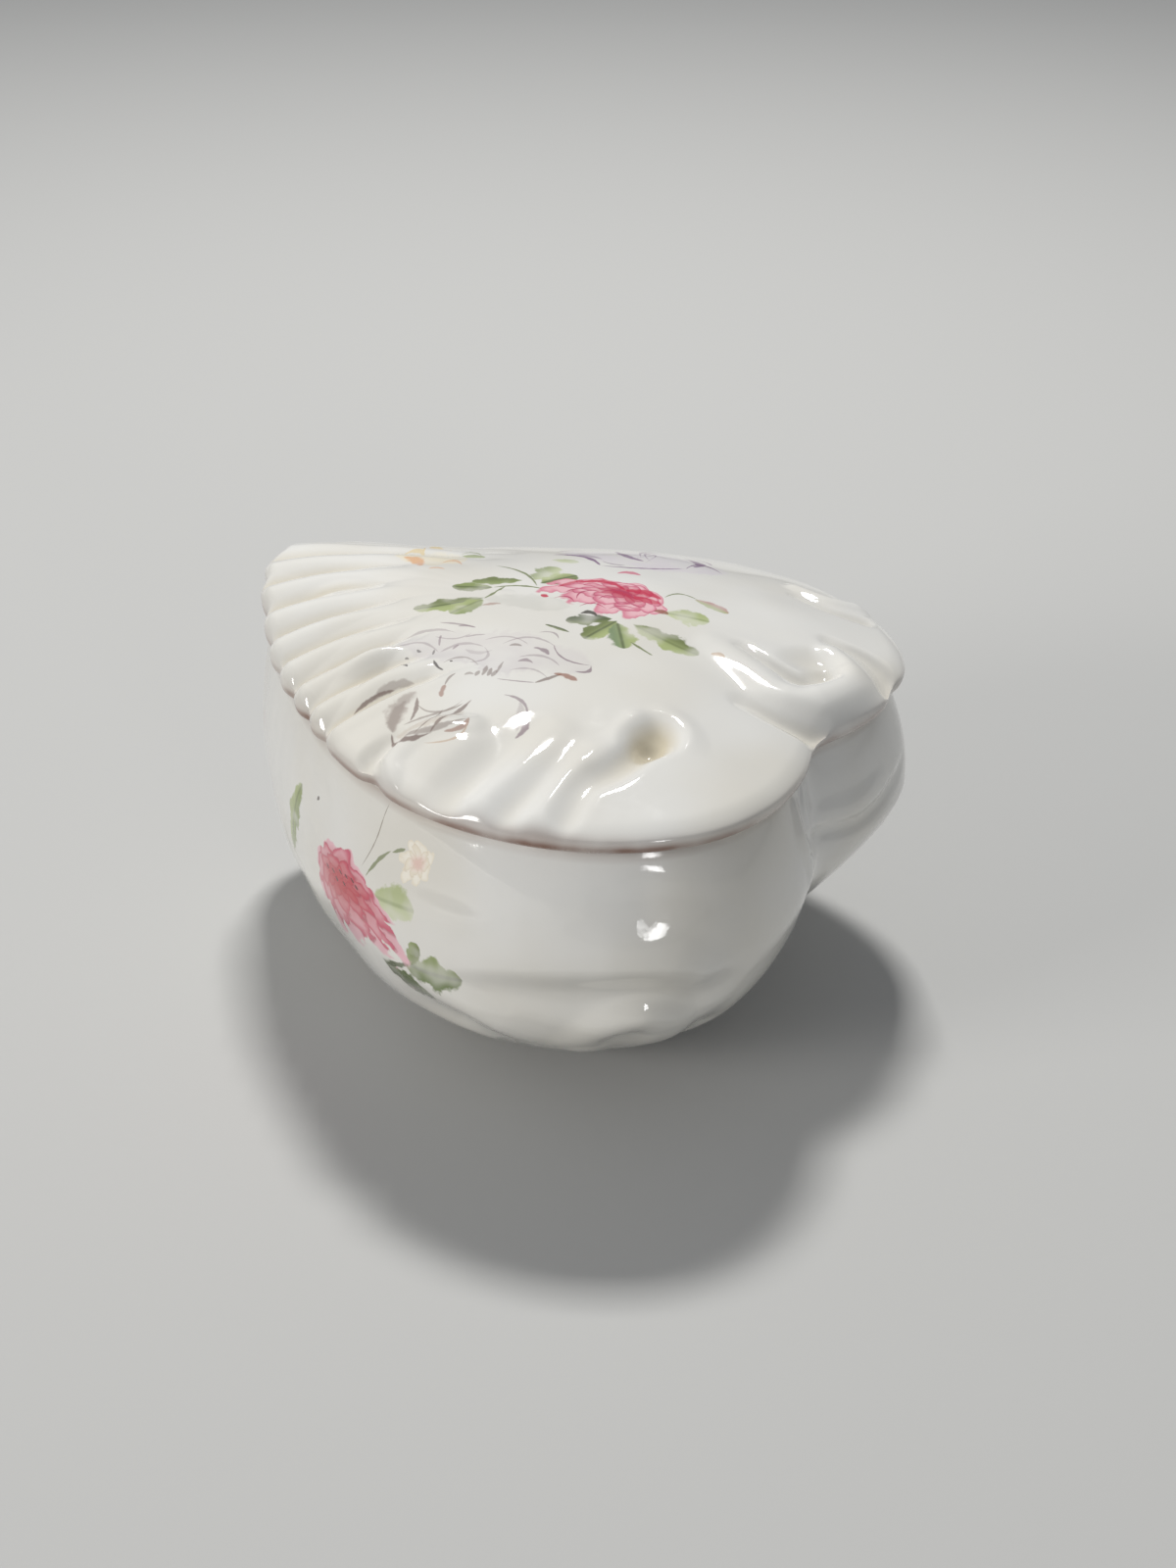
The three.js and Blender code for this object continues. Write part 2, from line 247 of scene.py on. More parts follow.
UNROLLED = 62.0 * DEGREE  # wall in millimetres for each degree
BASE_FOLDS = [
    # the swelling at the front of the belly, and the long hollow under it
    ([(-64, 36), (-54, 40.5), (-43, 42.5), (-35, 41), (-28, 37)], [5, 8, 9, 8, 5], [0.1, 0.9, 1.3, 1.0, 0.2]),
    ([(-66, 30), (-56, 33), (-46, 33.5), (-38, 35), (-31, 33), (-25, 37)],
     [4, 6, 8, 7, 7, 4], [-0.1, -1.0, -2.0, -2.1, -1.7, -0.2]),
    # the drawn-in wall above the belly, under the lid
    ([(-118, 50), (-100, 51), (-84, 51.5), (-68, 52), (-54, 50)], [5, 8, 9, 8, 5], [-0.2, -1.3, -1.7, -1.4, -0.2]),
    ([(-46, 53), (-38, 53.5), (-28, 52)], [5, 7, 5], [-0.2, -0.9, -0.2]),
    # the low fold to its left
    ([(-78, 29), (-66, 28), (-57, 23.4), (-50, 19)], [5, 6, 6, 4], [0.2, 1.4, 1.5, 0.3]),
    ([(-73, 20), (-63, 19.5), (-54, 14)], [5, 6, 4], [-0.2, -1.5, -0.3]),
    # lumps and hollows above the foot
    ([(-46, 16), (-43, 25), (-38.5, 29), (-34, 26), (-31, 16)], [4.4, 5.4, 5.4, 5, 4], [0.3, 1.2, 1.2, 1.0, 0.2]),
    ([(-39, 21.5), (-37.5, 15)], [5, 4], [-1.4, -0.5]),
    ([(-43, 15), (-40, 10)], [4.2, 3.4], [0.8, 0.2]),
    ([(-28, 29), (-27, 20), (-30, 11)], [5, 5.5, 4], [0.2, -1.5, -0.4]),
    ([(-54, 12), (-47, 9)], [4, 3], [-1.1, -0.3]),
    # the S-shaped folds down the cleft
    ([(-10, 59), (-10, 54), (-9, 50.6), (-7, 46), (-6, 40)], [1.8, 2.2, 2.4, 2.4, 2], [0.5, 1.2, 1.3, 1.0, 0.3]),
    ([(-5, 60), (-7, 55.4), (-6, 49.8), (-3, 44)], [1.8, 2.2, 2.4, 2], [-0.5, -1.1, -1.0, -0.3]),
    # the crease under the far lobe
    ([(-7, 48.8), (6, 44.5), (12, 44.8), (17, 47), (22, 49)], [2.2, 2.8, 2.8, 2.6, 2], [-0.4, -1.1, -1.1, -0.8, -0.2]),
    ([(-1, 50), (7, 49), (14, 50.5)], [3, 3.4, 3], [0.3, 0.8, 0.3]),
]
BASE_WAVES = [(7, 0.11), (-11, 0.17), (5, -0.23), (13, 0.07)]  # turns round the wall, rise with the height
BASE_WAVE, FAINT_WAVE = 0.09, 0.03  # heights in millimetres


def base_relief(angle, height):
    places = np.stack([apart(angle, 0) / DEGREE * UNROLLED, np.broadcast_to(height, angle.shape)], -1)
    total = np.zeros(angle.shape)
    for path, wide, high in BASE_FOLDS:
        total += stroke_height(places, [(turned * UNROLLED, tall) for turned, tall in path], wide, high)
    faint = bell(apart(angle, -2.45), 0.75) * ramp(height, 30, 50) * ramp(62 - height, 0, 5)
    slow = sum(np.sin(turns * angle + rise * height + turns) for turns, rise in BASE_WAVES)
    return total + FAINT_WAVE * faint * np.sin(angle * 47) + BASE_WAVE * (slow - 4)


print("folds", len(BASE_FOLDS))

# %% [markdown]
# ## From rings to a closed mesh
# Each piece becomes a grid of rings, closed by a pole at each end. The first pole is under the piece and the last one
# on its top or its floor, so every face points outwards. Small extra rings round the corners, as glaze does.

# %% Rings to mesh
def closed_mesh(name, start, rings, end):
    count, sides = len(rings), len(rings[0])
    points = np.concatenate([[start], np.concatenate(rings), [end]]) / 1000
    corner = 1 + np.arange(count * sides).reshape(count, sides)
    nxt = np.roll(corner, -1, axis=1)
    quads = np.stack([corner[:-1], nxt[:-1], nxt[1:], corner[1:]], -1).reshape(-1, 4)
    under = np.stack([np.zeros(sides, int), nxt[0], corner[0]], -1)
    over = np.stack([corner[-1], nxt[-1], np.full(sides, len(points) - 1)], -1)
    mesh = bpy.data.meshes.new(name)
    mesh.from_pydata(points.tolist(), [], under.tolist() + quads.tolist() + over.tolist())
    mesh.shade_smooth()
    return mesh


def centre_of(mesh):
    points = np.array([v.co for v in mesh.vertices])
    return (points.min(0) + points.max(0)) / 2


def folded(outline, height, fade):
    """A ring of the wall, pushed out or in by the folds."""
    push = base_relief(base_angle, height) * fade
    return ring(outline * (1 + push / np.linalg.norm(outline, axis=1))[:, None], height)


BASE_SIDES = 400
base_angle = angles_round(BASE_SIDES, lambda a: 1 + 0.9 * bell(a, 0.4))
outer_wall = []
for share in np.concatenate([[0, 0.012, 0.03], np.linspace(0.055, 1, 62)]):
    outer_wall.append(folded(bowl(share, 0, base_angle), BELLY * share, ramp(share, 0.04, 0.14)))
for share in np.linspace(0, 1, 34)[1:]:
    height = blend(BELLY, SEAT_HEIGHT, share)
    outer_wall.append(folded(shoulder(share, 0, base_angle), height, ramp(1 - share, 0, 0.08)))
print("outer wall rings", len(outer_wall))

# %% Base mesh
FOOT_RINGS = [(12, FOOT_RECESS), (7.2, FOOT_RECESS), (6.2, 1.1), (5.2, 0.15), (4.9, 0), (0.5, 0)]  # inset, height
INSIDE = FOOT_RECESS + FLOOR
base_rings = [ring(foot(m)(base_angle) + FOOT_SHIFT, h) for m, h in FOOT_RINGS]
under_rings = len(base_rings)
base_rings += outer_wall
seat_start = len(base_rings)
base_rings += [ring(inset(OVERHANG + m)(base_angle), SEAT_HEIGHT) for m in (0.4, 3, 5.4)]
base_rings += [ring(inset(OVERHANG + SEAT)(base_angle), SEAT_HEIGHT - 0.5)]
inside_start = len(base_rings)
for share, height in [(0.97, 60), (0.85, 58.5), (0.6, blend(BELLY, SEAT_HEIGHT - 6, 0.75))]:
    base_rings.append(ring(shoulder(share, -WALL - 2.2 * ramp(share, 0.6, 0.97), base_angle), height))
for share in np.concatenate([np.linspace(1, 0.1, 22), [0.06, 0.03]]):
    base_rings.append(ring(bowl(share, -WALL, base_angle), blend(INSIDE, BELLY, share)))
base_rings += [ring(bowl(0.03, -WALL, base_angle) * s, INSIDE + 0.2 * s) for s in (0.8, 0.5, 0.2)]
base_mesh = closed_mesh("base_body", (0, 0, FOOT_RECESS), base_rings, (0, 0, INSIDE))
shift = (base_low + base_high)[:2] / 2 / 1000 - centre_of(base_mesh)[:2]
print("shift", (shift * 1000).round(3), "faces", len(base_mesh.polygons))

# %% [markdown]
# ## The lid's form
# The lid is a low dome with a rounded lip, raised and curled at the point. Its carving is strokes and swellings, as on
# the base: a hooked scroll by the cleft, a teardrop hollow on the near lobe, a pillow at the notch, and waves along
# the edge. A real mould was cut by hand from such strokes, so they are kept as a list of named forms.

# %% Carving of the lid
LIP, DOME, LID_WALL = 4.6, 11.2, 4.6
POINT_LIFT, POINT_REACH, POINT_CURL = 4.5, 3.0, 4.0
FLUTE_STEP, FLUTE_START, FLUTE_DEPTH, SCALLOP = 4.2, 3.0, 2.5, 1.3
FLUTE_SHARP, FLUTE_SUNK, FLUTE_LEAST = 0.6, 0.6, 0.35
FLUTE_RISE, FLUTE_GROW, FLUTE_END = (-4.0, 8.0), (14.0, 24.0), (49.0, 53.0)  # bearings in degrees
FLUTE_FADE = (84.0, 110.0)  # distances from the hub between which the flutes rise
FAN_HUB = np.array([1.12 * LENGTH / 2, 0.78 * WIDTH / 2])
HALF = np.array([LENGTH / 2, WIDTH / 2])
TEARDROP = (0.76, -0.45)
HOOK = [(0.66, 0.14), (0.8, 0.09), (0.91, 0.05), (0.99, 0.075), (1.035, 0.16), (1.05, 0.27), (1.01, 0.36), (0.93, 0.4)]
LID_STROKES = [
    (HOOK, [5, 6, 7, 7, 6.5, 5.5, 4.5], [0.4, 1.5, 2.7, 3.2, 3, 2.4, 1.2]),
    ([(0.72, 0.2), (0.84, 0.17), (0.93, 0.18), (0.965, 0.26)], [2.5, 3, 4], [-0.5, -1.4, -1.6]),
    ([(0.88, 0.47), (1, 0.49), (1.07, 0.46), (1.12, 0.4)], [2.5, 3, 3.5], [-0.6, -1.6, -2.2]),
    # valley down into the cleft
    ([(0.86, -0.07), (0.97, -0.04), (1.08, 0)], [4, 5, 6], [-0.6, -1.6, -2.6]),
    # notch between the flutes and the front scroll, and the scroll's brim
    ([(0.135, -0.99), (0.1, -0.9), (0.14, -0.81)], [4, 3], [-2.8, -0.8]),
    ([(0.2, -0.97), (0.17, -0.88), (0.22, -0.78), (0.32, -0.7)], [4, 4], [1.4, 0.8]),
    # waves over the front lobe
    ([(0.46, -0.62), (0.44, -0.78), (0.4, -0.95)], [5, 6.5], [-0.3, -1.2]),
    ([(0.54, -0.6), (0.53, -0.78), (0.5, -0.95)], [5, 6], [0.4, 1.1]),
    ([(0.62, -0.66), (0.6, -0.8), (0.58, -0.93)], [4, 5], [-0.2, -0.9]),
    ([(0.65, -0.62), (0.67, -0.78), (0.67, -0.92)], [5, 5.5], [0.3, 0.8]),
    # tail of the teardrop hollow
    ([(0.77, -0.5), (0.75, -0.65), (0.71, -0.75), (0.72, -0.88)], [4, 4], [-1.6, -0.8]),
    ([(0.7, -0.42), (0.69, -0.55), (0.66, -0.66)], [4, 4], [1, 0.4]),
    # folds on the far lobe
    ([(0.62, 0.8), (0.74, 0.8), (0.84, 0.87)], [2.6, 3.2], [0.8, 1.4]),
    ([(0.66, 0.73), (0.78, 0.72), (0.88, 0.76)], [2.4, 3], [-0.6, -1.2]),
]
LID_SWELLS = [
    ((0.29, -0.79), 12, 9, -20, 2),  # pillow of the front scroll
    (TEARDROP, 8.2, 6.6, 80, -2.7),  # teardrop hollow
    ((0.8, -0.37), 9, 5, -30, 0.6),  # its raised brim
    ((-0.51, -0.18), 8, 3, 27, 1.1),  # beads between the flutes
    ((-0.15, -0.53), 8.5, 3.2, 38, 1.3),
    ((0.9, 0.3), 8, 6, 50, -1.4),  # pool inside the hook
]
LID_WAVES = np.array([(0.21, 0.13), (-0.12, 0.26), (0.3, -0.17), (0.09, 0.34)])
LID_WAVE = 0.055  # height in millimetres


def carving(places):
    total = np.zeros(places.shape[:-1])
    for path, wide, high in LID_STROKES:
        total += stroke_height(places, np.array(path) * HALF, wide, high)
    for at, long, wide, turned, high in LID_SWELLS:
        offset = places - np.array(at) * HALF
        c, s = math.cos(turned * DEGREE), math.sin(turned * DEGREE)
        along, across = offset @ [c, s], offset @ [-s, c]
        total += high * np.clip(1 - (along / long) ** 2 - (across / wide) ** 2, 0, 1) ** 2
    slow = sum(np.sin(places @ wave + wave[0] * 60) for wave in LID_WAVES)
    return total + LID_WAVE * (slow - 4)


print("strokes", len(LID_STROKES), "swellings", len(LID_SWELLS))


# %% Dome and edge of the lid
NOTCHES, NOTCH_SPAN = [(1.6, -81), (1.2, 20)], 0.05  # depth and bearing of each notch in the edge
ROUND_FROM, ROUND = 0.955, 0.045  # share of the radius where the edge starts to turn over, and the rest


def flute(places):
    """The crest of the flutes, from 0 in a valley to 1 on a ridge, and how strong they are at each place."""
    bearing = np.arctan2(FAN_HUB[1] - places[..., 1], FAN_HUB[0] - places[..., 0]) / DEGREE
    crest = (0.5 - 0.5 * np.cos(TURN * (bearing - FLUTE_START) / FLUTE_STEP)) ** FLUTE_SHARP
    strength = ramp(bearing, *FLUTE_RISE) * (1 - ramp(bearing, *FLUTE_END))
    strength = strength * (FLUTE_LEAST + (1 - FLUTE_LEAST) * ramp(bearing, *FLUTE_GROW))
    return crest, strength * ramp(np.linalg.norm(places - FAN_HUB, axis=-1), *FLUTE_FADE)


def lid_edge(angle):
    places = inset(0)(angle)
    point = bell(apart(angle, np.pi), 0.4)[:, None]
    crest, strength = flute(places)
    notch = sum(deep * bell(apart(angle, at * DEGREE), NOTCH_SPAN) for deep, at in NOTCHES)
    cut = 1 - (SCALLOP * strength * (1 - crest) + notch) / np.linalg.norm(places, axis=1)
    return (places + point * [-POINT_REACH, POINT_CURL]) * cut[:, None]


def point_lift(angle):
    return POINT_LIFT * bell(apart(angle, np.pi), 0.5)


def crown(share, angle):
    return SEAT_HEIGHT + LIP + DOME * (1 - share**2.44) + point_lift(angle) * share**3


LID_SIDES = 600
lid_angle = angles_round(LID_SIDES, lambda a: 1 + 0.7 * bell(a + 2.2, 0.8) + 0.6 * bell(a, 0.5))
edge = lid_edge(lid_angle)
lift = point_lift(lid_angle)
edge_height = SEAT_HEIGHT + 0.6 * LIP + 0.9 * lift
top_rings, top_share = [], []
round_shares = 1 - ROUND * (1 - np.cos(np.linspace(0.22, 1, 9) * np.pi / 2))
for share in np.concatenate([round_shares, np.linspace(0.945, 0.03, 96)]):
    places = edge * share
    t = np.clip((share - ROUND_FROM) / (1 - ROUND_FROM), 0, 1)
    full = crown(share, lid_angle) + carving(places)
    drop = 1 - np.sqrt(1 - t**2)
    top_rings.append(ring(places, blend(full, edge_height, drop)))
    top_share.append(ramp(share, 0.3, 0.8) * (1 - drop))
print("top rings", len(top_rings))

# %% Lid mesh
FLANGE_LOW, FLANGE_CORNER, FLANGE_BEVEL = SEAT_HEIGHT - 4.5, SEAT_HEIGHT - 4.1, 0.15
flange_outer, flange_inner = [inset(OVERHANG + SEAT + gap)(lid_angle) for gap in (1.2, 3.8)]


def vault(share):
    return ring(flange_inner * share, crown(share * 0.85, lid_angle) - LID_WALL)


lid_rings = [vault(s) for s in (0.1, 0.3, 0.5, 0.65, 0.8, 0.9)] + [ring(flange_inner, SEAT_HEIGHT + LIP / 2)]
lid_rings += [ring(flange_inner, FLANGE_CORNER)]
lid_rings += [ring(blend(flange_inner, flange_outer, s), FLANGE_LOW) for s in (FLANGE_BEVEL, 1 - FLANGE_BEVEL)]
lid_rings += [ring(flange_outer, FLANGE_CORNER), ring(flange_outer, SEAT_HEIGHT)]
lid_rings += [ring(inset(OVERHANG)(lid_angle), SEAT_HEIGHT)]
hidden_rings = len(lid_rings)
for t in (1, 0.85, 0.7, 0.55, 0.4, 0.25, 0.12, 0):
    tuck = 0.018 * (1 - math.cos(t * math.pi / 2))
    height = blend(edge_height, SEAT_HEIGHT + 0.45 + 0.6 * lift, math.sin(t * math.pi / 2))
    lid_rings.append(ring(edge * (1 - tuck), height))
plain_rings = len(lid_rings)
lid_rings += top_rings
lid_mesh = closed_mesh("lid_body", (0, 0, crown(0, 0) - LID_WALL), lid_rings, (0, 0, crown(0, 0)))
print("lid rings", len(lid_rings), "faces", len(lid_mesh.polygons))

# %% [markdown]
# ## The fan of flutes
# Shell flutes repeat by one rule: ridges at equal steps of bearing, seen from a hub on the far lobe. That suits
# Geometry Nodes. The tree reads each point's bearing from the hub, turns it into a wave, and lifts the point by it.
# A weight stored on the mesh keeps the flutes off the crown's middle and off the edge's underside, and they fade
# towards the hub.

# %% Helpers for node trees
def join(tree, socket, value):
    if isinstance(value, bpy.types.NodeSocket):
        tree.links.new(value, socket)
    elif value is not None:
        socket.default_value = value


def add(tree, kind, *values, **settings):
    node = tree.nodes.new(kind)
    for key, value in settings.items():
        setattr(node, key, value)
    for socket, value in zip(node.inputs, values):
        join(tree, socket, value)
    return node


def calc(tree, operation, *values):
    return add(tree, "ShaderNodeMath", *values, operation=operation).outputs[0]


def times(tree, a, b):
    return calc(tree, "MULTIPLY", a, b)


def plus(tree, a, b):
    return calc(tree, "ADD", a, b)


def minus(tree, a, b):
    return calc(tree, "SUBTRACT", a, b)


def vector(tree, operation, *values):
    made = add(tree, "ShaderNodeVectorMath", *values, operation=operation)
    return made.outputs["Value" if operation in ("LENGTH", "DOT_PRODUCT") else "Vector"]


def ease(tree, value, low, high, start=0.0, end=1.0):
    return add(tree, "ShaderNodeMapRange", value, low, high, start, end, interpolation_type="SMOOTHSTEP").outputs[0]


def noise(tree, place, scale, detail):
    return add(tree, "ShaderNodeTexNoise", place, None, scale, detail)


def mixed(tree, share, a, b):
    node = add(tree, "ShaderNodeMix", data_type="RGBA")
    for slot, value in zip((0, 6, 7), (share, a, b)):
        join(tree, node.inputs[slot], value)
    return node.outputs[2]


def new_tree(name, kind, inputs, outputs):
    tree = bpy.data.node_groups.new(name, kind)
    for side, sockets in (("INPUT", inputs), ("OUTPUT", outputs)):
        for label, socket_type, *value in sockets:
            socket = tree.interface.new_socket(label, in_out=side, socket_type="NodeSocket" + socket_type)
            if value:
                socket.default_value = value[0]
    return tree, tree.nodes.new("NodeGroupInput").outputs, tree.nodes.new("NodeGroupOutput").inputs


print("helpers ready")

# %% Flutes by Geometry Nodes
fan_inputs = [
    ("Body", "Geometry"), ("Hub", "Vector", (0.07, 0.05, 0)), ("Step in degrees", "Float", 4.2),
    ("Start in degrees", "Float", 3.0), ("Depth", "Float", 0.0025), ("Glaze", "Material"),
]
fan, given, result = new_tree("flute_fan", "GeometryNodeTree", fan_inputs, [("Body", "Geometry")])
away = vector(fan, "SUBTRACT", given["Hub"], add(fan, "GeometryNodeInputPosition").outputs[0])
split = add(fan, "ShaderNodeSeparateXYZ", away).outputs
bearing = times(fan, calc(fan, "ARCTAN2", split[1], split[0]), 180 / math.pi)
turned = calc(fan, "DIVIDE", minus(fan, bearing, given["Start in degrees"]), given["Step in degrees"])
wave = calc(fan, "COSINE", times(fan, turned, TURN))
crest = calc(fan, "POWER", calc(fan, "MULTIPLY_ADD", wave, -0.5, 0.5), FLUTE_SHARP)
strong = times(fan, ease(fan, bearing, *FLUTE_RISE), ease(fan, bearing, *FLUTE_END, 1.0, 0.0))
strong = times(fan, strong, ease(fan, bearing, *FLUTE_GROW, FLUTE_LEAST, 1.0))
reach = vector(fan, "LENGTH", vector(fan, "MULTIPLY", away, (1, 1, 0)))
strong = times(fan, strong, ease(fan, reach, FLUTE_FADE[0] / 1000, FLUTE_FADE[1] / 1000))
weight = add(fan, "GeometryNodeInputNamedAttribute", "flute_weight", data_type="FLOAT").outputs["Attribute"]
raised = times(fan, times(fan, minus(fan, crest, FLUTE_SUNK), strong), weight)
offset = add(fan, "ShaderNodeCombineXYZ", 0.0, 0.0, times(fan, raised, given["Depth"])).outputs[0]
moved = add(fan, "GeometryNodeSetPosition", given["Body"], None, None, offset)
real = add(fan, "GeometryNodeRealizeInstances", moved.outputs[0])
glazed = add(fan, "GeometryNodeSetMaterial", real.outputs[0], None, given["Glaze"])
join(fan, result["Body"], glazed.outputs[0])
print("flute nodes", len(fan.nodes))

# %% Place the two meshes
for mesh in (base_mesh, lid_mesh):
    mesh.transform(Matrix.Translation((shift[0], shift[1], 0)))


def keep_inside(mesh, low, high):
    points = np.empty(len(mesh.vertices) * 3, np.float32)
    mesh.vertices.foreach_get("co", points)
    points = points.reshape(-1, 3)
    moved = np.clip(points, low / 1000, high / 1000)
    print(mesh.name, "largest trim in mm", round(float(np.abs(points - moved).max()) * 1000, 3))
    mesh.vertices.foreach_set("co", moved.astype(np.float32).ravel())


def store(mesh, name, on_rings):
    """Keep a value for each point of the rings, and 0 for the two poles."""
    values = np.concatenate([[0], on_rings.ravel(), [0]]).astype(np.float32)
    mesh.attributes.new(name, "FLOAT", "POINT").data.foreach_set("value", values)


weights = np.zeros((len(lid_rings), LID_SIDES))
weights[plain_rings:] = np.array(top_share)[:, None]
store(lid_mesh, "flute_weight", weights)
print("flute weights", weights.shape)

# %% [markdown]
# ## Marks the painter left
# A transfer printed the flowers' outlines, and a brush filled them in. An image could hold them, but marks made by
# rule stay sharp at any size and need no picture. Each mark is a shader group that takes a place on the surface and
# gives a mask. A leaf and a brush stroke are the same mark at other proportions: a bent lens with a ragged edge.

# %% Leaf mark
def mark_group(name, inputs, outputs):
    """A group for a mark, with the place measured along and across the mark."""
    at = [("Place", "Vector"), ("Centre", "Vector"), ("Along", "Vector"), ("Across", "Vector")]
    tree, given, result = new_tree(name, "ShaderNodeTree", at + [(label, "Float", 0.0) for label in inputs],
                                   [(label, "Float") for label in outputs])
    offset = vector(tree, "SUBTRACT", given["Place"], given["Centre"])
    u = vector(tree, "DOT_PRODUCT", offset, given["Along"])
    v = vector(tree, "DOT_PRODUCT", offset, given["Across"])
    return tree, given, result, u, v


def lens(g, u, v, bend):
    """How far a place lies from the ends of a mark, and from its bent middle line."""
    left = calc(g, "MAXIMUM", calc(g, "MULTIPLY_ADD", times(g, u, u), -1.0, 1.0), 0.0)
    return left, minus(g, v, times(g, bend, left))


g, given, result, u, v = mark_group("leaf mark", ["Bend", "Lobes", "Ragged"], ["Mask", "Side", "Rib"])
leaf_group = g
left, bent = lens(g, u, v, given["Bend"])
half = times(g, calc(g, "POWER", left, 0.62), calc(g, "MULTIPLY_ADD", u, 0.22, 0.86))
wavy = times(g, calc(g, "SINE", times(g, u, 8.5)), given["Lobes"])
half = times(g, half, plus(g, plus(g, wavy, 1.0), given["Ragged"]))
width = calc(g, "ABSOLUTE", bent)
join(g, result["Mask"], ease(g, minus(g, half, width), 0.0, 0.22))
join(g, result["Side"], ease(g, bent, -0.5, 0.6))
join(g, result["Rib"], ease(g, width, 0.02, 0.16, 1.0, 0.0))
print("leaf nodes", len(g.nodes))

# %% Brush stroke
g, given, result, u, v = mark_group("brush stroke", ["Bend", "Ragged"], ["Mask"])
stroke_group = g
left, bent = lens(g, u, v, given["Bend"])
width = calc(g, "ABSOLUTE", bent)
half = times(g, calc(g, "POWER", left, 0.45), given["Ragged"])
join(g, result["Mask"], ease(g, minus(g, half, width), 0.0, 0.5))
print("stroke nodes", len(g.nodes))

# %% [markdown]
# The blossoms are many-petalled, like a chrysanthemum seen from above its side. Petals lie in rows about a centre,
# each row half a petal round from the last, and a darker line follows every petal's tip. That is a rule too: the
# distance past the last row of tips gives the line, and the distance to the next gives the petal's own shade.

# %% Blossom mark
PETAL_ARCH = 0.7  # how far a petal's tip reaches past its sides, in rows
g, given, result, u, v = mark_group(
    "blossom mark", ["Lean along", "Lean across", "Petals", "Rows", "Ragged"], ["Mask", "Line", "Tip", "Out"])
blossom_group = g


def squares(a, b):
    return plus(g, times(g, a, a), times(g, b, b))


left = calc(g, "MAXIMUM", minus(g, 1.0, squares(u, v)), 0.0)
u = minus(g, u, times(g, left, given["Lean along"]))
v = minus(g, v, times(g, left, given["Lean across"]))
out = calc(g, "SQRT", squares(u, v))
rows = times(g, plus(g, out, given["Ragged"]), given["Rows"])
turned = times(g, calc(g, "ARCTAN2", v, u), calc(g, "DIVIDE", given["Petals"], TURN))
turned = plus(g, turned, calc(g, "MULTIPLY_ADD", given["Ragged"], 3.0, 100.0))
even = calc(g, "ABSOLUTE", calc(g, "MULTIPLY_ADD", calc(g, "FRACT", turned), 2.0, -1.0))
odd = minus(g, 1.0, even)
even_arch, odd_arch = [times(g, times(g, side, side), PETAL_ARCH) for side in (even, odd)]
even_past = calc(g, "FLOORED_MODULO", plus(g, plus(g, rows, 1.0), even_arch), 2.0)
odd_past = calc(g, "FLOORED_MODULO", plus(g, rows, odd_arch), 2.0)
past = calc(g, "MINIMUM", even_past, odd_past)
ahead = minus(g, 2.0, calc(g, "MAXIMUM", even_past, odd_past))
edge_left = minus(g, minus(g, given["Rows"], even_arch), rows)
join(g, result["Mask"], ease(g, edge_left, 0.0, 0.2))
join(g, result["Line"], ease(g, past, 0.0, 0.22, 1.0, 0.0))
join(g, result["Tip"], ease(g, ahead, 0.0, 0.7, 1.0, 0.0))
join(g, result["Out"], out)
print("blossom nodes", len(g.nodes))

# %% [markdown]
# ## A painter for a material
# Each mark is laid over the colour below it, as a painter lays one stroke over another. This small helper keeps the
# current colour of a material and adds marks to it. Places are in millimetres on the object itself, and a mark lies
# in the plane that its surface has there.

# %% Painter
def tint(code):
    values = [int(code[i : i + 2], 16) / 255 for i in (0, 2, 4)]
    return tuple(v / 12.92 if v <= 0.04045 else ((v + 0.055) / 1.055) ** 2.4 for v in values) + (1.0,)


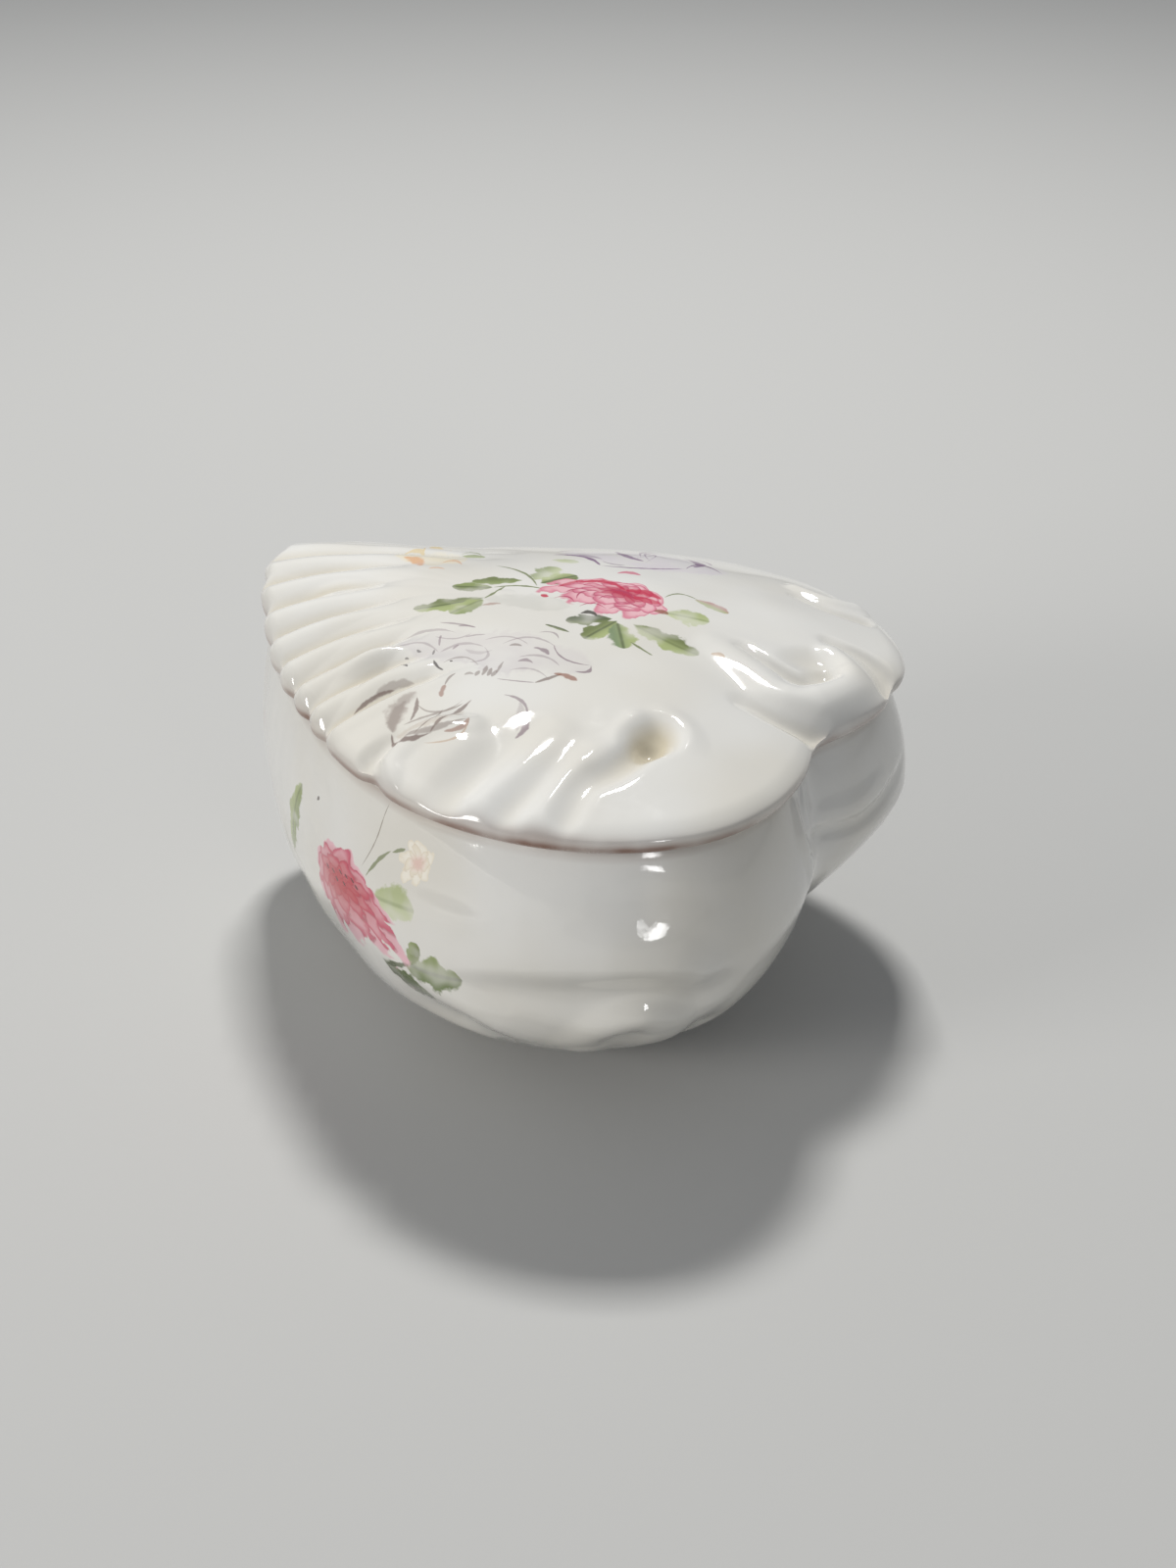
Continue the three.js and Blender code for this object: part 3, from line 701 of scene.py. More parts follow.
class Painter:
    """Lays marks over the colour of one material. Facing gives the surface's direction at a place."""

    def __init__(self, tree, ground, facing):
        self.tree, self.colour, self.facing = tree, ground, facing
        coordinates = tree.nodes.new("ShaderNodeTexCoord").outputs["Object"]
        self.place = vector(tree, "MULTIPLY", coordinates, (1000, 1000, 1000))
        self.ragged = minus(tree, noise(tree, self.place, 0.55, 2.0).outputs[0], 0.5)
        self.brush = calc(tree, "MULTIPLY_ADD", self.ragged, 1.4, 1.0)
        wash = noise(tree, self.place, 0.2, 1.0)
        self.wash = wash.outputs[0]
        drift = vector(tree, "SUBTRACT", wash.outputs["Color"], (0.5, 0.5, 0.5))
        self.loose = vector(tree, "ADD", self.place, vector(tree, "MULTIPLY", drift, (4.0, 4.0, 4.0)))

    def frame_of(self, start, end, half_width):
        start, end = Vector(start), Vector(end)
        centre, along = (start + end) / 2, end - start
        across = Vector(self.facing(centre)).normalized().cross(along).normalized()
        return centre, along * 2 / along.length_squared, across / half_width

    def mark(self, group, place, frame, *values):
        return add(self.tree, "ShaderNodeGroup", place, *frame, *values, node_tree=group).outputs

    def times(self, a, b):
        return times(self.tree, a, b)

    def lay(self, share, colour):
        self.colour = mixed(self.tree, share, self.colour, colour)

    def leaf(self, start, end, half_width, colours, strength=1.0, bend=0.0, lobes=0.0, rib=None, ragged=1.0):
        frame = self.frame_of(start, end, half_width)
        mark = self.mark(leaf_group, self.place, frame, bend, lobes, self.times(self.ragged, ragged))
        body = tint(colours[0])
        if len(colours) > 1:
            body = mixed(self.tree, mark["Side"], body, tint(colours[1]))
        if rib:
            body = mixed(self.tree, self.times(mark["Rib"], 0.7), body, tint(rib))
        fade = ease(self.tree, self.wash, 0.3, 0.62, 0.5 * strength, strength)
        self.lay(self.times(mark["Mask"], fade), body)

    def stroke(self, points, half_width, colour, strength=1.0):
        for i in range(0, len(points) - 1, 2):
            frame = self.frame_of(points[i], points[min(i + 2, len(points) - 1)], half_width)
            bend = 0.0
            if i + 2 < len(points):
                centre, along, across = frame
                middle = Vector(points[i + 1]) - centre
                bend = middle.dot(across) / max(0.3, 1 - middle.dot(along) ** 2)
            mark = self.mark(stroke_group, self.place, frame, bend, self.brush)
            self.lay(self.times(mark["Mask"], strength), tint(colour))

    def blossom(self, start, end, half_width, lean, petals, rows, colours,
                strength=1.0, ragged=0.16, lines=0.8, deep_to=0.62):
        frame, rough = self.frame_of(start, end, half_width), self.times(self.ragged, ragged)
        mark = self.mark(blossom_group, self.loose, frame, *lean, petals, rows, rough)
        pale, middle, deep, line = [tint(c) for c in colours]
        body = mixed(self.tree, mark["Tip"], pale, middle)
        body = mixed(self.tree, ease(self.tree, mark["Out"], 0.12, deep_to, 0.95, 0.0), body, deep)
        body = mixed(self.tree, self.times(mark["Line"], lines), body, line)
        self.lay(self.times(mark["Mask"], strength), body)


class Sketch(list):
    """Marks planned for a surface, kept in the order that they are laid."""

    def leaf(self, *values, **more):
        self.append(("leaf", values[:2], values[2], values, more))

    def blossom(self, *values, **more):
        self.append(("blossom", values[:2], values[2], values, more))

    def stroke(self, *values):
        self.append(("stroke", values[0], values[1], values, {}))

    def paint(self, painter, low, high):
        count = 0
        for kind, points, reach, values, more in self:
            spread = np.array(points)[:, :2]
            if (spread.max(0) + reach + 1 > low).all() and (spread.min(0) - reach - 1 < high).all():
                getattr(painter, kind)(*values, **more)
                count += 1
        return count


print("painter ready")

# %% [markdown]
# ## The glaze
# Old white porcelain isn't pure white. The body is a warm grey-white, the glaze pools ivory where it lies thick in
# hollows, and there are fine dark specks from the kiln. The glaze is very smooth but never flat: it has a slow
# waviness that bends every reflection. One group gives that colour, roughness and height to each glazed material.

# %% Glaze group
glaze_inputs = [("Pool", "Float", 0.0), ("Stain", "Float", 0.0)]
glaze_colours = (("White", "dddcd8"), ("Ivory", "c7bea8"), ("Brown", "6e4229"))
glaze_inputs += [(label, "Color", tint(code)) for label, code in glaze_colours]
glaze_outputs = [("Colour", "Color"), ("Roughness", "Float"), ("Height", "Float")]
g, given, result = new_tree("old glaze", "ShaderNodeTree", glaze_inputs, glaze_outputs)
glaze_group = g
coordinates = g.nodes.new("ShaderNodeTexCoord").outputs["Object"]
slow = noise(g, coordinates, 28.0, 2.0).outputs[0]
fine = noise(g, coordinates, 260.0, 3.0).outputs[0]
cells = add(g, "ShaderNodeTexVoronoi", coordinates, None, 95.0)
speck = times(g, ease(g, cells.outputs["Distance"], 0.018, 0.05, 1.0, 0.0), ease(g, slow, 0.5, 0.62))
pick = add(g, "ShaderNodeSeparateColor", cells.outputs["Color"]).outputs[0]
speck = times(g, speck, calc(g, "GREATER_THAN", pick, 0.8))
# The pool input gives ivory where the glaze lies thick in hollows, and painted shade in the flute valleys.
pooled = calc(g, "MAXIMUM", ease(g, slow, 0.35, 0.7, 0.0, 0.3), given["Pool"])
shade = mixed(g, pooled, given["White"], given["Ivory"])
patchy = ease(g, noise(g, coordinates, 90.0, 2.0).outputs[0], 0.3, 0.6, 0.55, 1.0)
# The stain input gives brown along the lid's rim and the base's top, partly real stain and partly painted shadow of
# the gap under the lid.
stained_and_shaded = mixed(g, times(g, given["Stain"], patchy), shade, given["Brown"])
join(g, result["Colour"], mixed(g, times(g, speck, 0.75), stained_and_shaded, tint("4a3a33")))
rough = plus(g, ease(g, fine, 0.3, 0.8, 0.05, 0.11), times(g, given["Stain"], 0.2))
join(g, result["Roughness"], rough)
height = plus(g, times(g, slow, 0.9), times(g, fine, 0.035))
join(g, result["Height"], minus(g, height, times(g, speck, 0.05)))
print("glaze nodes", len(g.nodes))

# %% Glazed material
GLAZE_WAVE, GRAIN = 0.0009, 0.0001  # depths in metres


def new_material(name):
    material = bpy.data.materials.new(name)
    material.use_nodes = True
    return material, material.node_tree, material.node_tree.nodes["Principled BSDF"].inputs


def bumpy(tree, shader, height, distance):
    relief = add(tree, "ShaderNodeBump")
    relief.inputs["Strength"].default_value = 1.0
    relief.inputs["Distance"].default_value = distance
    join(tree, relief.inputs["Height"], height)
    join(tree, shader["Normal"], relief.outputs[0])


def glazed_material(name):
    material, tree, shader = new_material(name)
    for label, value in (("IOR", 1.52), ("Coat Weight", 0.35), ("Coat Roughness", 0.03)):
        shader[label].default_value = value
    masks = [add(tree, "ShaderNodeAttribute", attribute_name=name).outputs["Fac"] for name in ("pool", "rim_stain_and_shade")]
    glaze = add(tree, "ShaderNodeGroup", *masks, node_tree=glaze_group).outputs
    bumpy(tree, shader, glaze["Height"], GLAZE_WAVE)
    join(tree, shader["Roughness"], glaze["Roughness"])
    return material, tree, shader["Base Color"], glaze["Colour"]


plain_glaze, tree, finish, colour = glazed_material("plain_glaze")
join(tree, finish, colour)
print("plain glaze ready")

# %% [markdown]
# ## The lid's flowers
# The lid carries a spray: a crimson blossom among green leaves in the middle, a violet one on the far lobe, a faded
# mauve one on the near lobe with its outlines worn to grey-brown, and a small yellow one near the point. The washes
# are thin, so the glaze below shows through, and the leaves run from olive to yellow-green.

# %% Leaves and washes on the lid
lid = Sketch()
OLIVE, MOSS, LIME, PALE_LEAF, DARK = "727c4e", "88955f", "a5b079", "bfc79c", "525c3d"
PAINT_HEIGHT, LEAF_WIDER = 76.0, 1.15


def flat(*places):
    return [(x, y, PAINT_HEIGHT) for x, y in places]


def lid_leaf(start, end, half_width, *rest, **more):
    lid.leaf(*flat(start, end), half_width * LEAF_WIDER, *rest, **more)


# washes under the violet, the faded mauve and the yellow blossom
lid.leaf(*flat((-13, 27), (20, 42)), 8.5, ["d3cad3", "d9d3d8"], strength=0.6, lobes=0.08, ragged=0.5)
lid.leaf(*flat((-17, -26), (22, -15.5)), 8.8, ["c6c0c2", "d0cac8"], strength=0.45, lobes=0.12, ragged=0.9)
lid.leaf(*flat((-39, 5), (-25, 12)), 6, ["e4d8b8", "e8e0c8"], strength=0.6, lobes=0.1, ragged=0.8)
lid.leaf(*flat((-11, -4), (6, 2)), 4.2, ["b9b9b1"], strength=0.35, ragged=0.8)
# leaves to the left of the crimson blossom
lid_leaf((-10.5, -3.5), (-20.5, -14), 2.5, [OLIVE, LIME], bend=0.3, lobes=0.18, rib=DARK)
lid_leaf((-10.3, -4.4), (-12.4, -12.9), 2.9, [LIME, MOSS], rib=OLIVE, lobes=0.1)
lid_leaf((-11.7, 1.1), (-19, -2.7), 2.1, [MOSS, OLIVE], rib=DARK)
lid_leaf((-8.3, 6.9), (-16.9, 1.2), 1.8, [OLIVE, MOSS], lobes=0.12)
lid_leaf((-4.7, 7.5), (-1.1, 15.8), 3.0, [OLIVE, LIME], rib=DARK, lobes=0.1)
lid_leaf((-6.5, 8.1), (-6.8, 17.4), 3.0, [PALE_LEAF, MOSS], strength=0.85, lobes=0.15)
lid_leaf((-10.4, 20.7), (-5, 22.9), 1.6, [PALE_LEAF, LIME], strength=0.8)
lid_leaf((-28.2, 14.1), (-23.5, 16), 1.3, [LIME, MOSS], strength=0.8)
# leaves below and right of it
lid_leaf((15.1, 3), (8.2, -3.6), 2.3, [DARK, OLIVE], rib=DARK, lobes=0.14)
lid_leaf((16.1, 2.8), (15, -7.8), 2.7, [OLIVE, LIME], rib=DARK, lobes=0.14)
lid_leaf((16.6, 2), (22.8, -6), 2.9, ["7b8c68", LIME], rib=DARK, lobes=0.1)
lid_leaf((19.2, 3.4), (34.4, 2.6), 3.1, [LIME, OLIVE], rib=OLIVE, bend=-0.2, lobes=0.16)
lid_leaf((21.5, 11.8), (30, 14.8), 3.3, [PALE_LEAF, LIME], rib=MOSS)
lid_leaf((23, 21.2), (31, 20.8), 1.6, [LIME, "b98d8a"], bend=0.2)
# stems
for path in (
    [(-2.4, 5.7), (-9.8, 2.9), (-11.7, 1.1)], [(-4.4, 6), (-12.9, 10.8), (-17.5, 10.8)], [(-9.8, 2.9), (-10.4, -4)],
    [(18.3, 17.3), (22.2, 21.8), (24, 21.4)], [(5.9, -7.3), (11.2, -7.3)], [(22.4, -3), (28.2, -4.4)],
):
    lid.stroke(flat(*path), 0.4, OLIVE, 0.9)
# the crimson blossom
lid.blossom(*flat((-3.6, 3.4), (20.8, 14.6)), 9.3, (0.42, 0.5), 9, 5,
            ["e3b4bb", "cd7389", "b41c42", "a5284f"], 1.0, 0.12, 0.8)
print("lid leaves painted")

# %% [markdown]
# The blossoms were printed as outlines first and washed over by hand. On the mauve one the wash has worn away, so its
# lines show, turned from mauve to grey-brown, with long loose petals below. Each line is one arc through
# measured places: three points, a half width in millimetres and a strength, listed under its colour.

# %% Drawn lines on the lid
WORN, RUST, MAUVE, VIOLET, DARK_MARK = "7b6a64", "8d5843", "8c7b82", "765278", "463f40"
ASH, BUFF, BEAD, CALYX, PINK = "978c85", "c2ae9b", "d2c4a6", "3a352c", "cb6a80"
CRIMSON, ROSE, AMBER, STRAW = "bd1440", "ab3a5c", "d6904e", "d9c084"
MAUVE_LINES = [
    ("a0948d", [(-1.4, -47.3, -3.6, -43.4, -3, -37.6, 2.4, 0.6)]),
    ("c3b8aa", [(-0.6, -47.6, 4.6, -46.4, 9, -39.2, 2, 0.5)]),
    (WORN, [(0, -48.9, 6.6, -48, 11.6, -42.4, 0.9, 0.55), (-1, -40.2, 2.8, -41.6, 6.8, -36.4, 0.4, 0.5)]),
    (ASH, [(-0.5, -45.5, 3.4, -43, 7.4, -37.2, 0.5, 0.7)]),
    (MAUVE, [(-16, -24.6, -13, -20, -7, -18.6, 0.5, 0.4), (-15, -28.4, -11.6, -24.6, -6.2, -25.4, 0.45, 0.4),
        (-6.2, -25.4, -4, -21.4, 0.6, -20.4, 0.5, 0.4), (0.6, -20.4, 3.2, -24, 0.4, -26.6, 0.45, 0.4),
        (3.2, -18.2, 7, -13.2, 12.6, -13.8, 0.45, 0.45), (8.6, -20.6, 12.4, -18, 16.8, -19.2, 0.45, 0.45),
        (9.4, -25.4, 13.2, -22.8, 17, -23.8, 0.4, 0.4)]),
    (WORN, [(-3.2, -28.6, -0.4, -25.2, 3.4, -26.4, 0.4, 0.45)]),
    (MAUVE, [(-10, -21.4, -6.4, -20.6, -4.2, -17.6, 0.35, 0.4), (-0.6, -18.4, 3, -15.2, 7.8, -16, 0.35, 0.4)]),
    (WORN, [(-13.2, -43.6, -11.1, -39.8, -8.2, -37.1, 0.55, 0.8),
        (-11.3, -40.1, -8.8, -36.5, -5.5, -34.5, 1.1, 0.45)]),
    (ASH, [(-1.4, -47.3, -3.4, -43.8, -3.5, -40.1, 1.5, 0.6)]),
    (WORN, [(-1.5, -47.6, 4.6, -50, 7.6, -48.3, 0.8, 0.85), (7.6, -48.3, 7.7, -42.6, 8.3, -35.8, 0.6, 0.75),
        (4.5, -49.3, 5.4, -45.6, 4.8, -40.1, 0.35, 0.6)]),
    (BUFF, [(7.3, -50, 12.1, -48.2, 11.9, -41.9, 0.35, 0.8)]),
    (RUST, [(9.9, -47.2, 11.8, -45.5, 11.7, -41.7, 0.7, 0.6)]),
    (WORN, [(0.6, -44.5, -0.2, -41.8, -2, -38.7, 0.55, 0.75)]),
    (RUST, [(2.5, -37.4, 1.7, -35.9, 1.3, -34.3, 0.7, 0.6)]),
    (WORN, [(1.3, -34.4, 0.9, -32.1, 1.1, -30.5, 0.35, 0.6)]),
    (MAUVE, [(12.8, -32.2, 16.6, -32.2, 19.9, -35.2, 0.5, 0.7), (19.9, -35.2, 21.2, -37.9, 21.1, -41.1, 0.8, 0.8),
        (16.6, -32.5, 19.1, -36.1, 20.4, -39.7, 0.9, 0.3), (11.8, -13.4, 17.7, -16.5, 21.2, -15.3, 0.4, 0.8),
        (21.2, -15.3, 21.9, -17.7, 19.9, -19, 0.5, 0.85)]),
    (WORN, [(15.8, -26.3, 17.1, -23.9, 18.6, -21, 0.5, 0.75)]),
    (RUST, [(17.1, -21.8, 19.3, -21.2, 22.1, -21.5, 0.9, 0.75)]),
    (MAUVE, [(8.9, -28.7, 12.4, -27.6, 15.8, -26.2, 0.22, 0.7)]),
    (WORN, [(4.7, -18, 5.6, -17.1, 7, -17, 0.5, 0.6)]),
    (MAUVE, [(9.1, -16.4, 10.6, -16, 13, -17, 0.8, 0.8), (9.2, -22, 10.3, -20.8, 12.1, -21.1, 0.6, 0.7)]),
    (WORN, [(2.9, -30.5, 3.4, -29.5, 4.4, -29.4, 0.5, 0.5), (5, -29.8, 4.8, -28.9, 4.7, -28, 0.5, 0.55),
        (6, -29.1, 5.6, -27.5, 4.9, -25.8, 0.55, 0.6), (7, -28.8, 6.7, -27.7, 6.2, -26.1, 0.55, 0.6),
        (7.8, -28.6, 7.6, -27.5, 7.4, -26.2, 0.5, 0.55), (8, -27.3, 7.4, -25.4, 6.9, -23.2, 0.4, 0.55)]),
    (RUST, [(-17.8, -25.8, -17.1, -25.1, -16.3, -24.5, 0.4, 0.75)]),
    (DARK_MARK, [(-11.8, -30.2, -10.8, -30.9, -8.6, -32.4, 0.4, 0.8),
        (-5.3, -28.5, -3.7, -29.7, -2.1, -30, 0.4, 0.8), (-10.7, -26.4, -10.2, -26.5, -9.6, -26.4, 0.3, 0.6),
        (-6.9, -26.6, -7.3, -25.7, -7.7, -24.9, 0.3, 0.6), (-2.2, -27.7, -2.1, -27.4, -1.9, -27.2, 0.35, 0.8),
        (-11.8, -28.9, -11.5, -28.7, -11, -28.6, 0.25, 0.6)]),
    (MAUVE, [(-12.3, -16.6, -8.6, -15.8, -4.6, -15.3, 0.35, 0.6), (-7.4, -23.7, -8.3, -22.3, -9.2, -20.5, 0.3, 0.6),
        (-8.1, -16.5, -6.7, -15.6, -4.7, -15.4, 0.45, 0.6), (-4.6, -19.2, -3.2, -17.7, -1.5, -16.6, 0.3, 0.5),
        (6.7, -10.9, 8.9, -9.3, 11.3, -10.9, 0.35, 0.6), (-2.2, -22.7, 1, -22.7, 2.8, -20.7, 0.7, 0.25),
        (-4.5, -23.5, -4.4, -22.4, -4.3, -21.7, 0.4, 0.6)]),
    (DARK, [(5.9, -7.3, 7.8, -6.9, 11.5, -7.3, 0.38, 0.85)]),
    (BEAD, [(-22.5, -31, -19.4, -28.4, -16.2, -25.5, 1.7, 0.65)]),
]
VIOLET_LINES = [
    (VIOLET, [(-12.5, 24.5, -8, 26.8, -0.6, 24, 0.8, 0.9), (-13.2, 27.1, -12.1, 30.9, -9.9, 33.7, 0.45, 0.7),
        (-9, 27.6, -5.9, 28.5, -2.6, 28.1, 0.8, 0.5), (-0.6, 24, 6.7, 28.8, 12.8, 35.8, 0.4, 0.8),
        (13, 35.5, 13.7, 42.4, 19.5, 39.7, 0.75, 0.85), (-4.7, 37.1, 0, 34.2, 4.3, 33.4, 1, 0.8),
        (-7.1, 40.1, -2, 43, 3.5, 42.4, 0.5, 0.6), (2, 36.1, 1.8, 42.7, 5.4, 43.1, 0.8, 0.65),
        (5.6, 34.1, 5.6, 39.6, 8.3, 38.8, 0.7, 0.6), (8, 44, 12, 43, 13.4, 38.4, 1.5, 0.8),
        (9, 45.6, 12, 46.4, 14.4, 44.4, 0.6, 0.7), (1.5, 31.5, 1.6, 34, 5.1, 31.5, 0.5, 0.7),
        (-2, 27, 0.8, 26.7, 3.1, 28, 0.5, 0.5)]),
]
CRIMSON_LINES = [
    (CRIMSON, [(0.9, 12.4, 5.5, 16.3, 10.6, 15.2, 1, 0.85), (10.6, 15.2, 13.8, 16.5, 18.3, 16.3, 1.5, 0.85),
        (-0.9, 8.1, 0, 11.4, 1.4, 14.4, 0.7, 0.7), (-1.7, 3.2, -0.7, 2.9, 0.1, 3.2, 0.9, 0.9),
        (13.1, 13.5, 16.4, 14.1, 19.3, 14.6, 1.2, 0.7)]),
    (ROSE, [(5.1, 5.6, 4.1, 8.4, 6.9, 11.9, 0.28, 0.9), (8.4, 8.2, 9.2, 11, 11.9, 10.7, 0.28, 0.85),
        (1.7, 7, 2.9, 10, 5.5, 10.6, 0.28, 0.8), (7.1, 12.1, 9.7, 14.3, 14, 12.9, 0.28, 0.85),
        (7.1, 3.1, 9.3, 6.4, 11.9, 5.7, 0.25, 0.8), (12.2, 6, 13.5, 8.8, 16.4, 9.5, 0.25, 0.8),
        (11.6, 8.6, 13.8, 10.6, 16.2, 10.7, 0.25, 0.8), (1.2, 3.1, 2.4, 5.1, 5.6, 4, 0.28, 0.85)]),
    (CALYX, [(8.8, 0.9, 9.8, 2.3, 12, 2.1, 1, 0.9)]),
    (RUST, [(19.5, 11.1, 20.7, 11.8, 22.5, 11.7, 1, 0.85)]),
    (PINK, [(4.6, 21.9, 6, 23.9, 8.9, 24.3, 1, 0.85)]),
]
YELLOW_LINES = [
    (AMBER, [(-36.6, 5.4, -34.7, 5.5, -30.5, 3.1, 1.8, 0.6)]),
    (STRAW, [(-36.2, 11.7, -38.2, 19.5, -31.6, 15.6, 2.4, 0.65)]),
    (AMBER, [(-28.3, 2.2, -27.2, 3.6, -25.1, 3.7, 0.5, 0.5), (-28.1, 6.3, -27.3, 9, -23.7, 7.8, 0.8, 0.45)]),
    (STRAW, [(-39.9, 8.5, -38.9, 10.9, -34.5, 8.9, 1.2, 0.6)]),
    (MOSS, [(-28.6, 14.4, -28.2, 16.9, -24.5, 16.2, 0.5, 0.8)]),
    (RUST, [(-8.9, -7, -7.7, -5.4, -6.1, -4.4, 0.7, 0.5)]),
    (BUFF, [(35.9, 4.5, 37.1, 5, 38.9, 4.7, 0.8, 0.8)]),
]
for colour, rows in MAUVE_LINES + VIOLET_LINES + CRIMSON_LINES + YELLOW_LINES:
    for x0, y0, x1, y1, x2, y2, width, strength in rows:
        lid.stroke(flat((x0, y0), (x1, y1), (x2, y2)), width, colour, strength)
print("marks on the lid", len(lid))

# %% [markdown]
# One material with every mark would be slow, since each point of the lid would work through all of them. The lid's
# top is therefore divided into fields, and each field's material holds only the marks that reach it. The glaze below
# is the same in all of them, so no seam shows.

# %% Painted fields of the lid
LID_FIELDS = {
    "mauve": ((-26, -54), (26, -9)),
    "leaf_green": ((-26, -9), (1, 24)),
    "crimson": ((1, -9), (42, 24)),
    "yellow": ((-46, -3), (-26, 24)),
    "violet": ((-18, 24), (26, 52)),
}
lid_paints = []
for name, (low, high) in LID_FIELDS.items():
    material, tree, finish, ground = glazed_material("lid_glaze_" + name)
    painter = Painter(tree, ground, lambda place: (0, 0, 1))
    count = lid.paint(painter, np.array(low), np.array(high))
    join(tree, finish, painter.colour)
    lid_paints.append(material)
    print(name, "marks", count, "nodes", len(tree.nodes))

# %% [markdown]
# ## The base's flowers
# The near flank of the base has a rose-pink blossom with a crimson heart, a long leaf on its left, a pale round leaf
# on its right, dark leaves below, and a small cream bud on a thin stem. A hairline runs down from the rim. The wall
# curves, so each mark is laid in the plane that touches the wall at its own middle.

# %% Painted base
BODY_MIDDLE, BODY_HALF = (-8, 0, 41), (70, 61, 52)  # an egg shape that stands for the wall's slope


def wall_facing(place):
    return [(v - middle) / half**2 for v, middle, half in zip(place, BODY_MIDDLE, BODY_HALF)]


base_paint, tree, finish, ground = glazed_material("painted_base_glaze")
base = Painter(tree, ground, wall_facing)
base.leaf((-36, -38, 28), (-27.8, -43, 49.5), 3.0, [MOSS, LIME], rib=OLIVE, bend=0.1, lobes=0.1)
base.stroke([(-33.5, -36, 20), (-38.5, -34, 27), (-40, -34, 33)], 0.9, OLIVE, 0.8)
base.leaf((-58.6, -21, 42), (-59.4, -21, 47), 1.8, ["b4622e"], strength=0.7)
base.leaf((-21.7, -47.1, 49.8), (-20.8, -47.1, 50.8), 0.5, ["5d5450"])
base.leaf((1, -59, 42.5), (12.2, -61.1, 44.4), 4.3, [PALE_LEAF, LIME], strength=0.85, rib=MOSS)
base.leaf((1.7, -57.2, 28.4), (15.4, -59.2, 25), 3.6, [DARK, "5c6a40"], lobes=0.12)
base.leaf((8, -60.3, 31.4), (22.4, -61.1, 32.8), 4.4, ["6c7a4c", MOSS], rib=DARK, lobes=0.14)
base.leaf((10.2, -60.1, 31.5), (12.6, -61, 37.6), 2.0, [OLIVE, MOSS])
base.stroke([(2.9, -57.4, 27.7), (10.2, -60.1, 31.8)], 0.8, DARK, 0.9)
base.stroke([(-1.5, -57.6, 45.2), (1.4, -58.2, 49.5), (4.4, -58.6, 52.4), (8, -58.9, 54.6)], 0.45, OLIVE, 0.8)
base.blossom((7.6, -60.5, 49), (14.2, -60.5, 57), 3.6, (0.1, 0), 7, 3,
             ["efe9dc", "e3d9c4", "e0bdb2", "c4ad8c"], 0.85, 0.3, 0.45)
base.blossom((-20.4, -47.8, 39.6), (10.5, -59.3, 26.8), 12.6, (-0.5, 0.5), 9, 4.5,
             ["e8c6cf", "c9667f", "b3001f", "980f33"], 1.0, 0.13, 0.6, 1.3)
HEART_SPECKS = [
    (-14.9, -51.5, 39.7), (-12.4, -52.9, 40.3), (-9.5, -54.5, 41.9), (-7.4, -55.5, 42.1),
    (-5.3, -56.4, 42.4), (-11.1, -53.6, 39.3), (-8.3, -54.9, 39.9), (-4.0, -57.0, 41.6),
]
for x, y, z in HEART_SPECKS:
    base.stroke([(x - 0.6, y, z + 0.3), (x + 0.5, y, z - 0.3)], 0.4, "4a0c18", 0.85)
base.stroke([(3.5, -55.7, 61.6), (0.6, -56.6, 54), (-3.1, -57, 46.3)], 0.16, "8b8175", 0.8)
join(tree, finish, base.colour)
print("base material nodes", len(tree.nodes))

# %% [markdown]
# ## Bare porcelain
# Where a piece stood in the kiln or meets the other, the glaze is wiped off: on the foot's ring and on the seat under
# the lid. Bare porcelain is matt, slightly grainy and a little darker from handling.

# %% Bare porcelain
bare, tree, shader = new_material("bare_porcelain")
coordinates = tree.nodes.new("ShaderNodeTexCoord").outputs["Object"]
grain = noise(tree, coordinates, 1400.0, 4.0).outputs[0]
worn = noise(tree, coordinates, 90.0, 3.0).outputs[0]
join(tree, shader["Base Color"], mixed(tree, ease(tree, worn, 0.35, 0.65), tint("d8d2c6"), tint("b9ab97")))
join(tree, shader["Roughness"], ease(tree, grain, 0.3, 0.7, 0.5, 0.75))
bumpy(tree, shader, grain, GRAIN)
print("bare porcelain ready")

# %% [markdown]
# ## Where the glaze pools and stains, and where shade is painted
# Glaze runs into hollows while it melts, and dirt gathers where the lid's edge has been handled. Both follow the form,
# so they are stored on the mesh's points: a pool where the carving lies low, and a stain along the rim. In the flute
# valleys the pool is also painted shade. The band under the lid's edge and on the base's top is partly brown stain and
# partly painted shadow of the gap between the pieces.

# %% Pools, stains and painted shade
POOL_DEPTH = 2.2  # a hollow this deep is full of ivory glaze
# Brown along the lid's edge, partly real stain and partly painted shadow of the gap under the edge: full below the
# edge, thinning up the top.
RIM_STAIN_AND_SHADE = [1, 1, 1, 1, 1, 0.9, 0.6, 0.35, 0.2, 0.12, 0.06, 0.03, 0, 0]  # ring by ring, from below the edge inwards
STAIN_RUN = 6  # rings of the top that the stain can climb
lid_places = np.concatenate([r[:, :2] for r in lid_rings]).reshape(len(lid_rings), LID_SIDES, 2)
drop = np.linalg.norm(lid_places - HALF * TEARDROP, axis=-1)
lid_pool_and_shade = np.clip(-carving(lid_places) / POOL_DEPTH, 0, 1) * (0.4 + 0.6 * bell(drop, 12))
crest, strength = flute(lid_places)
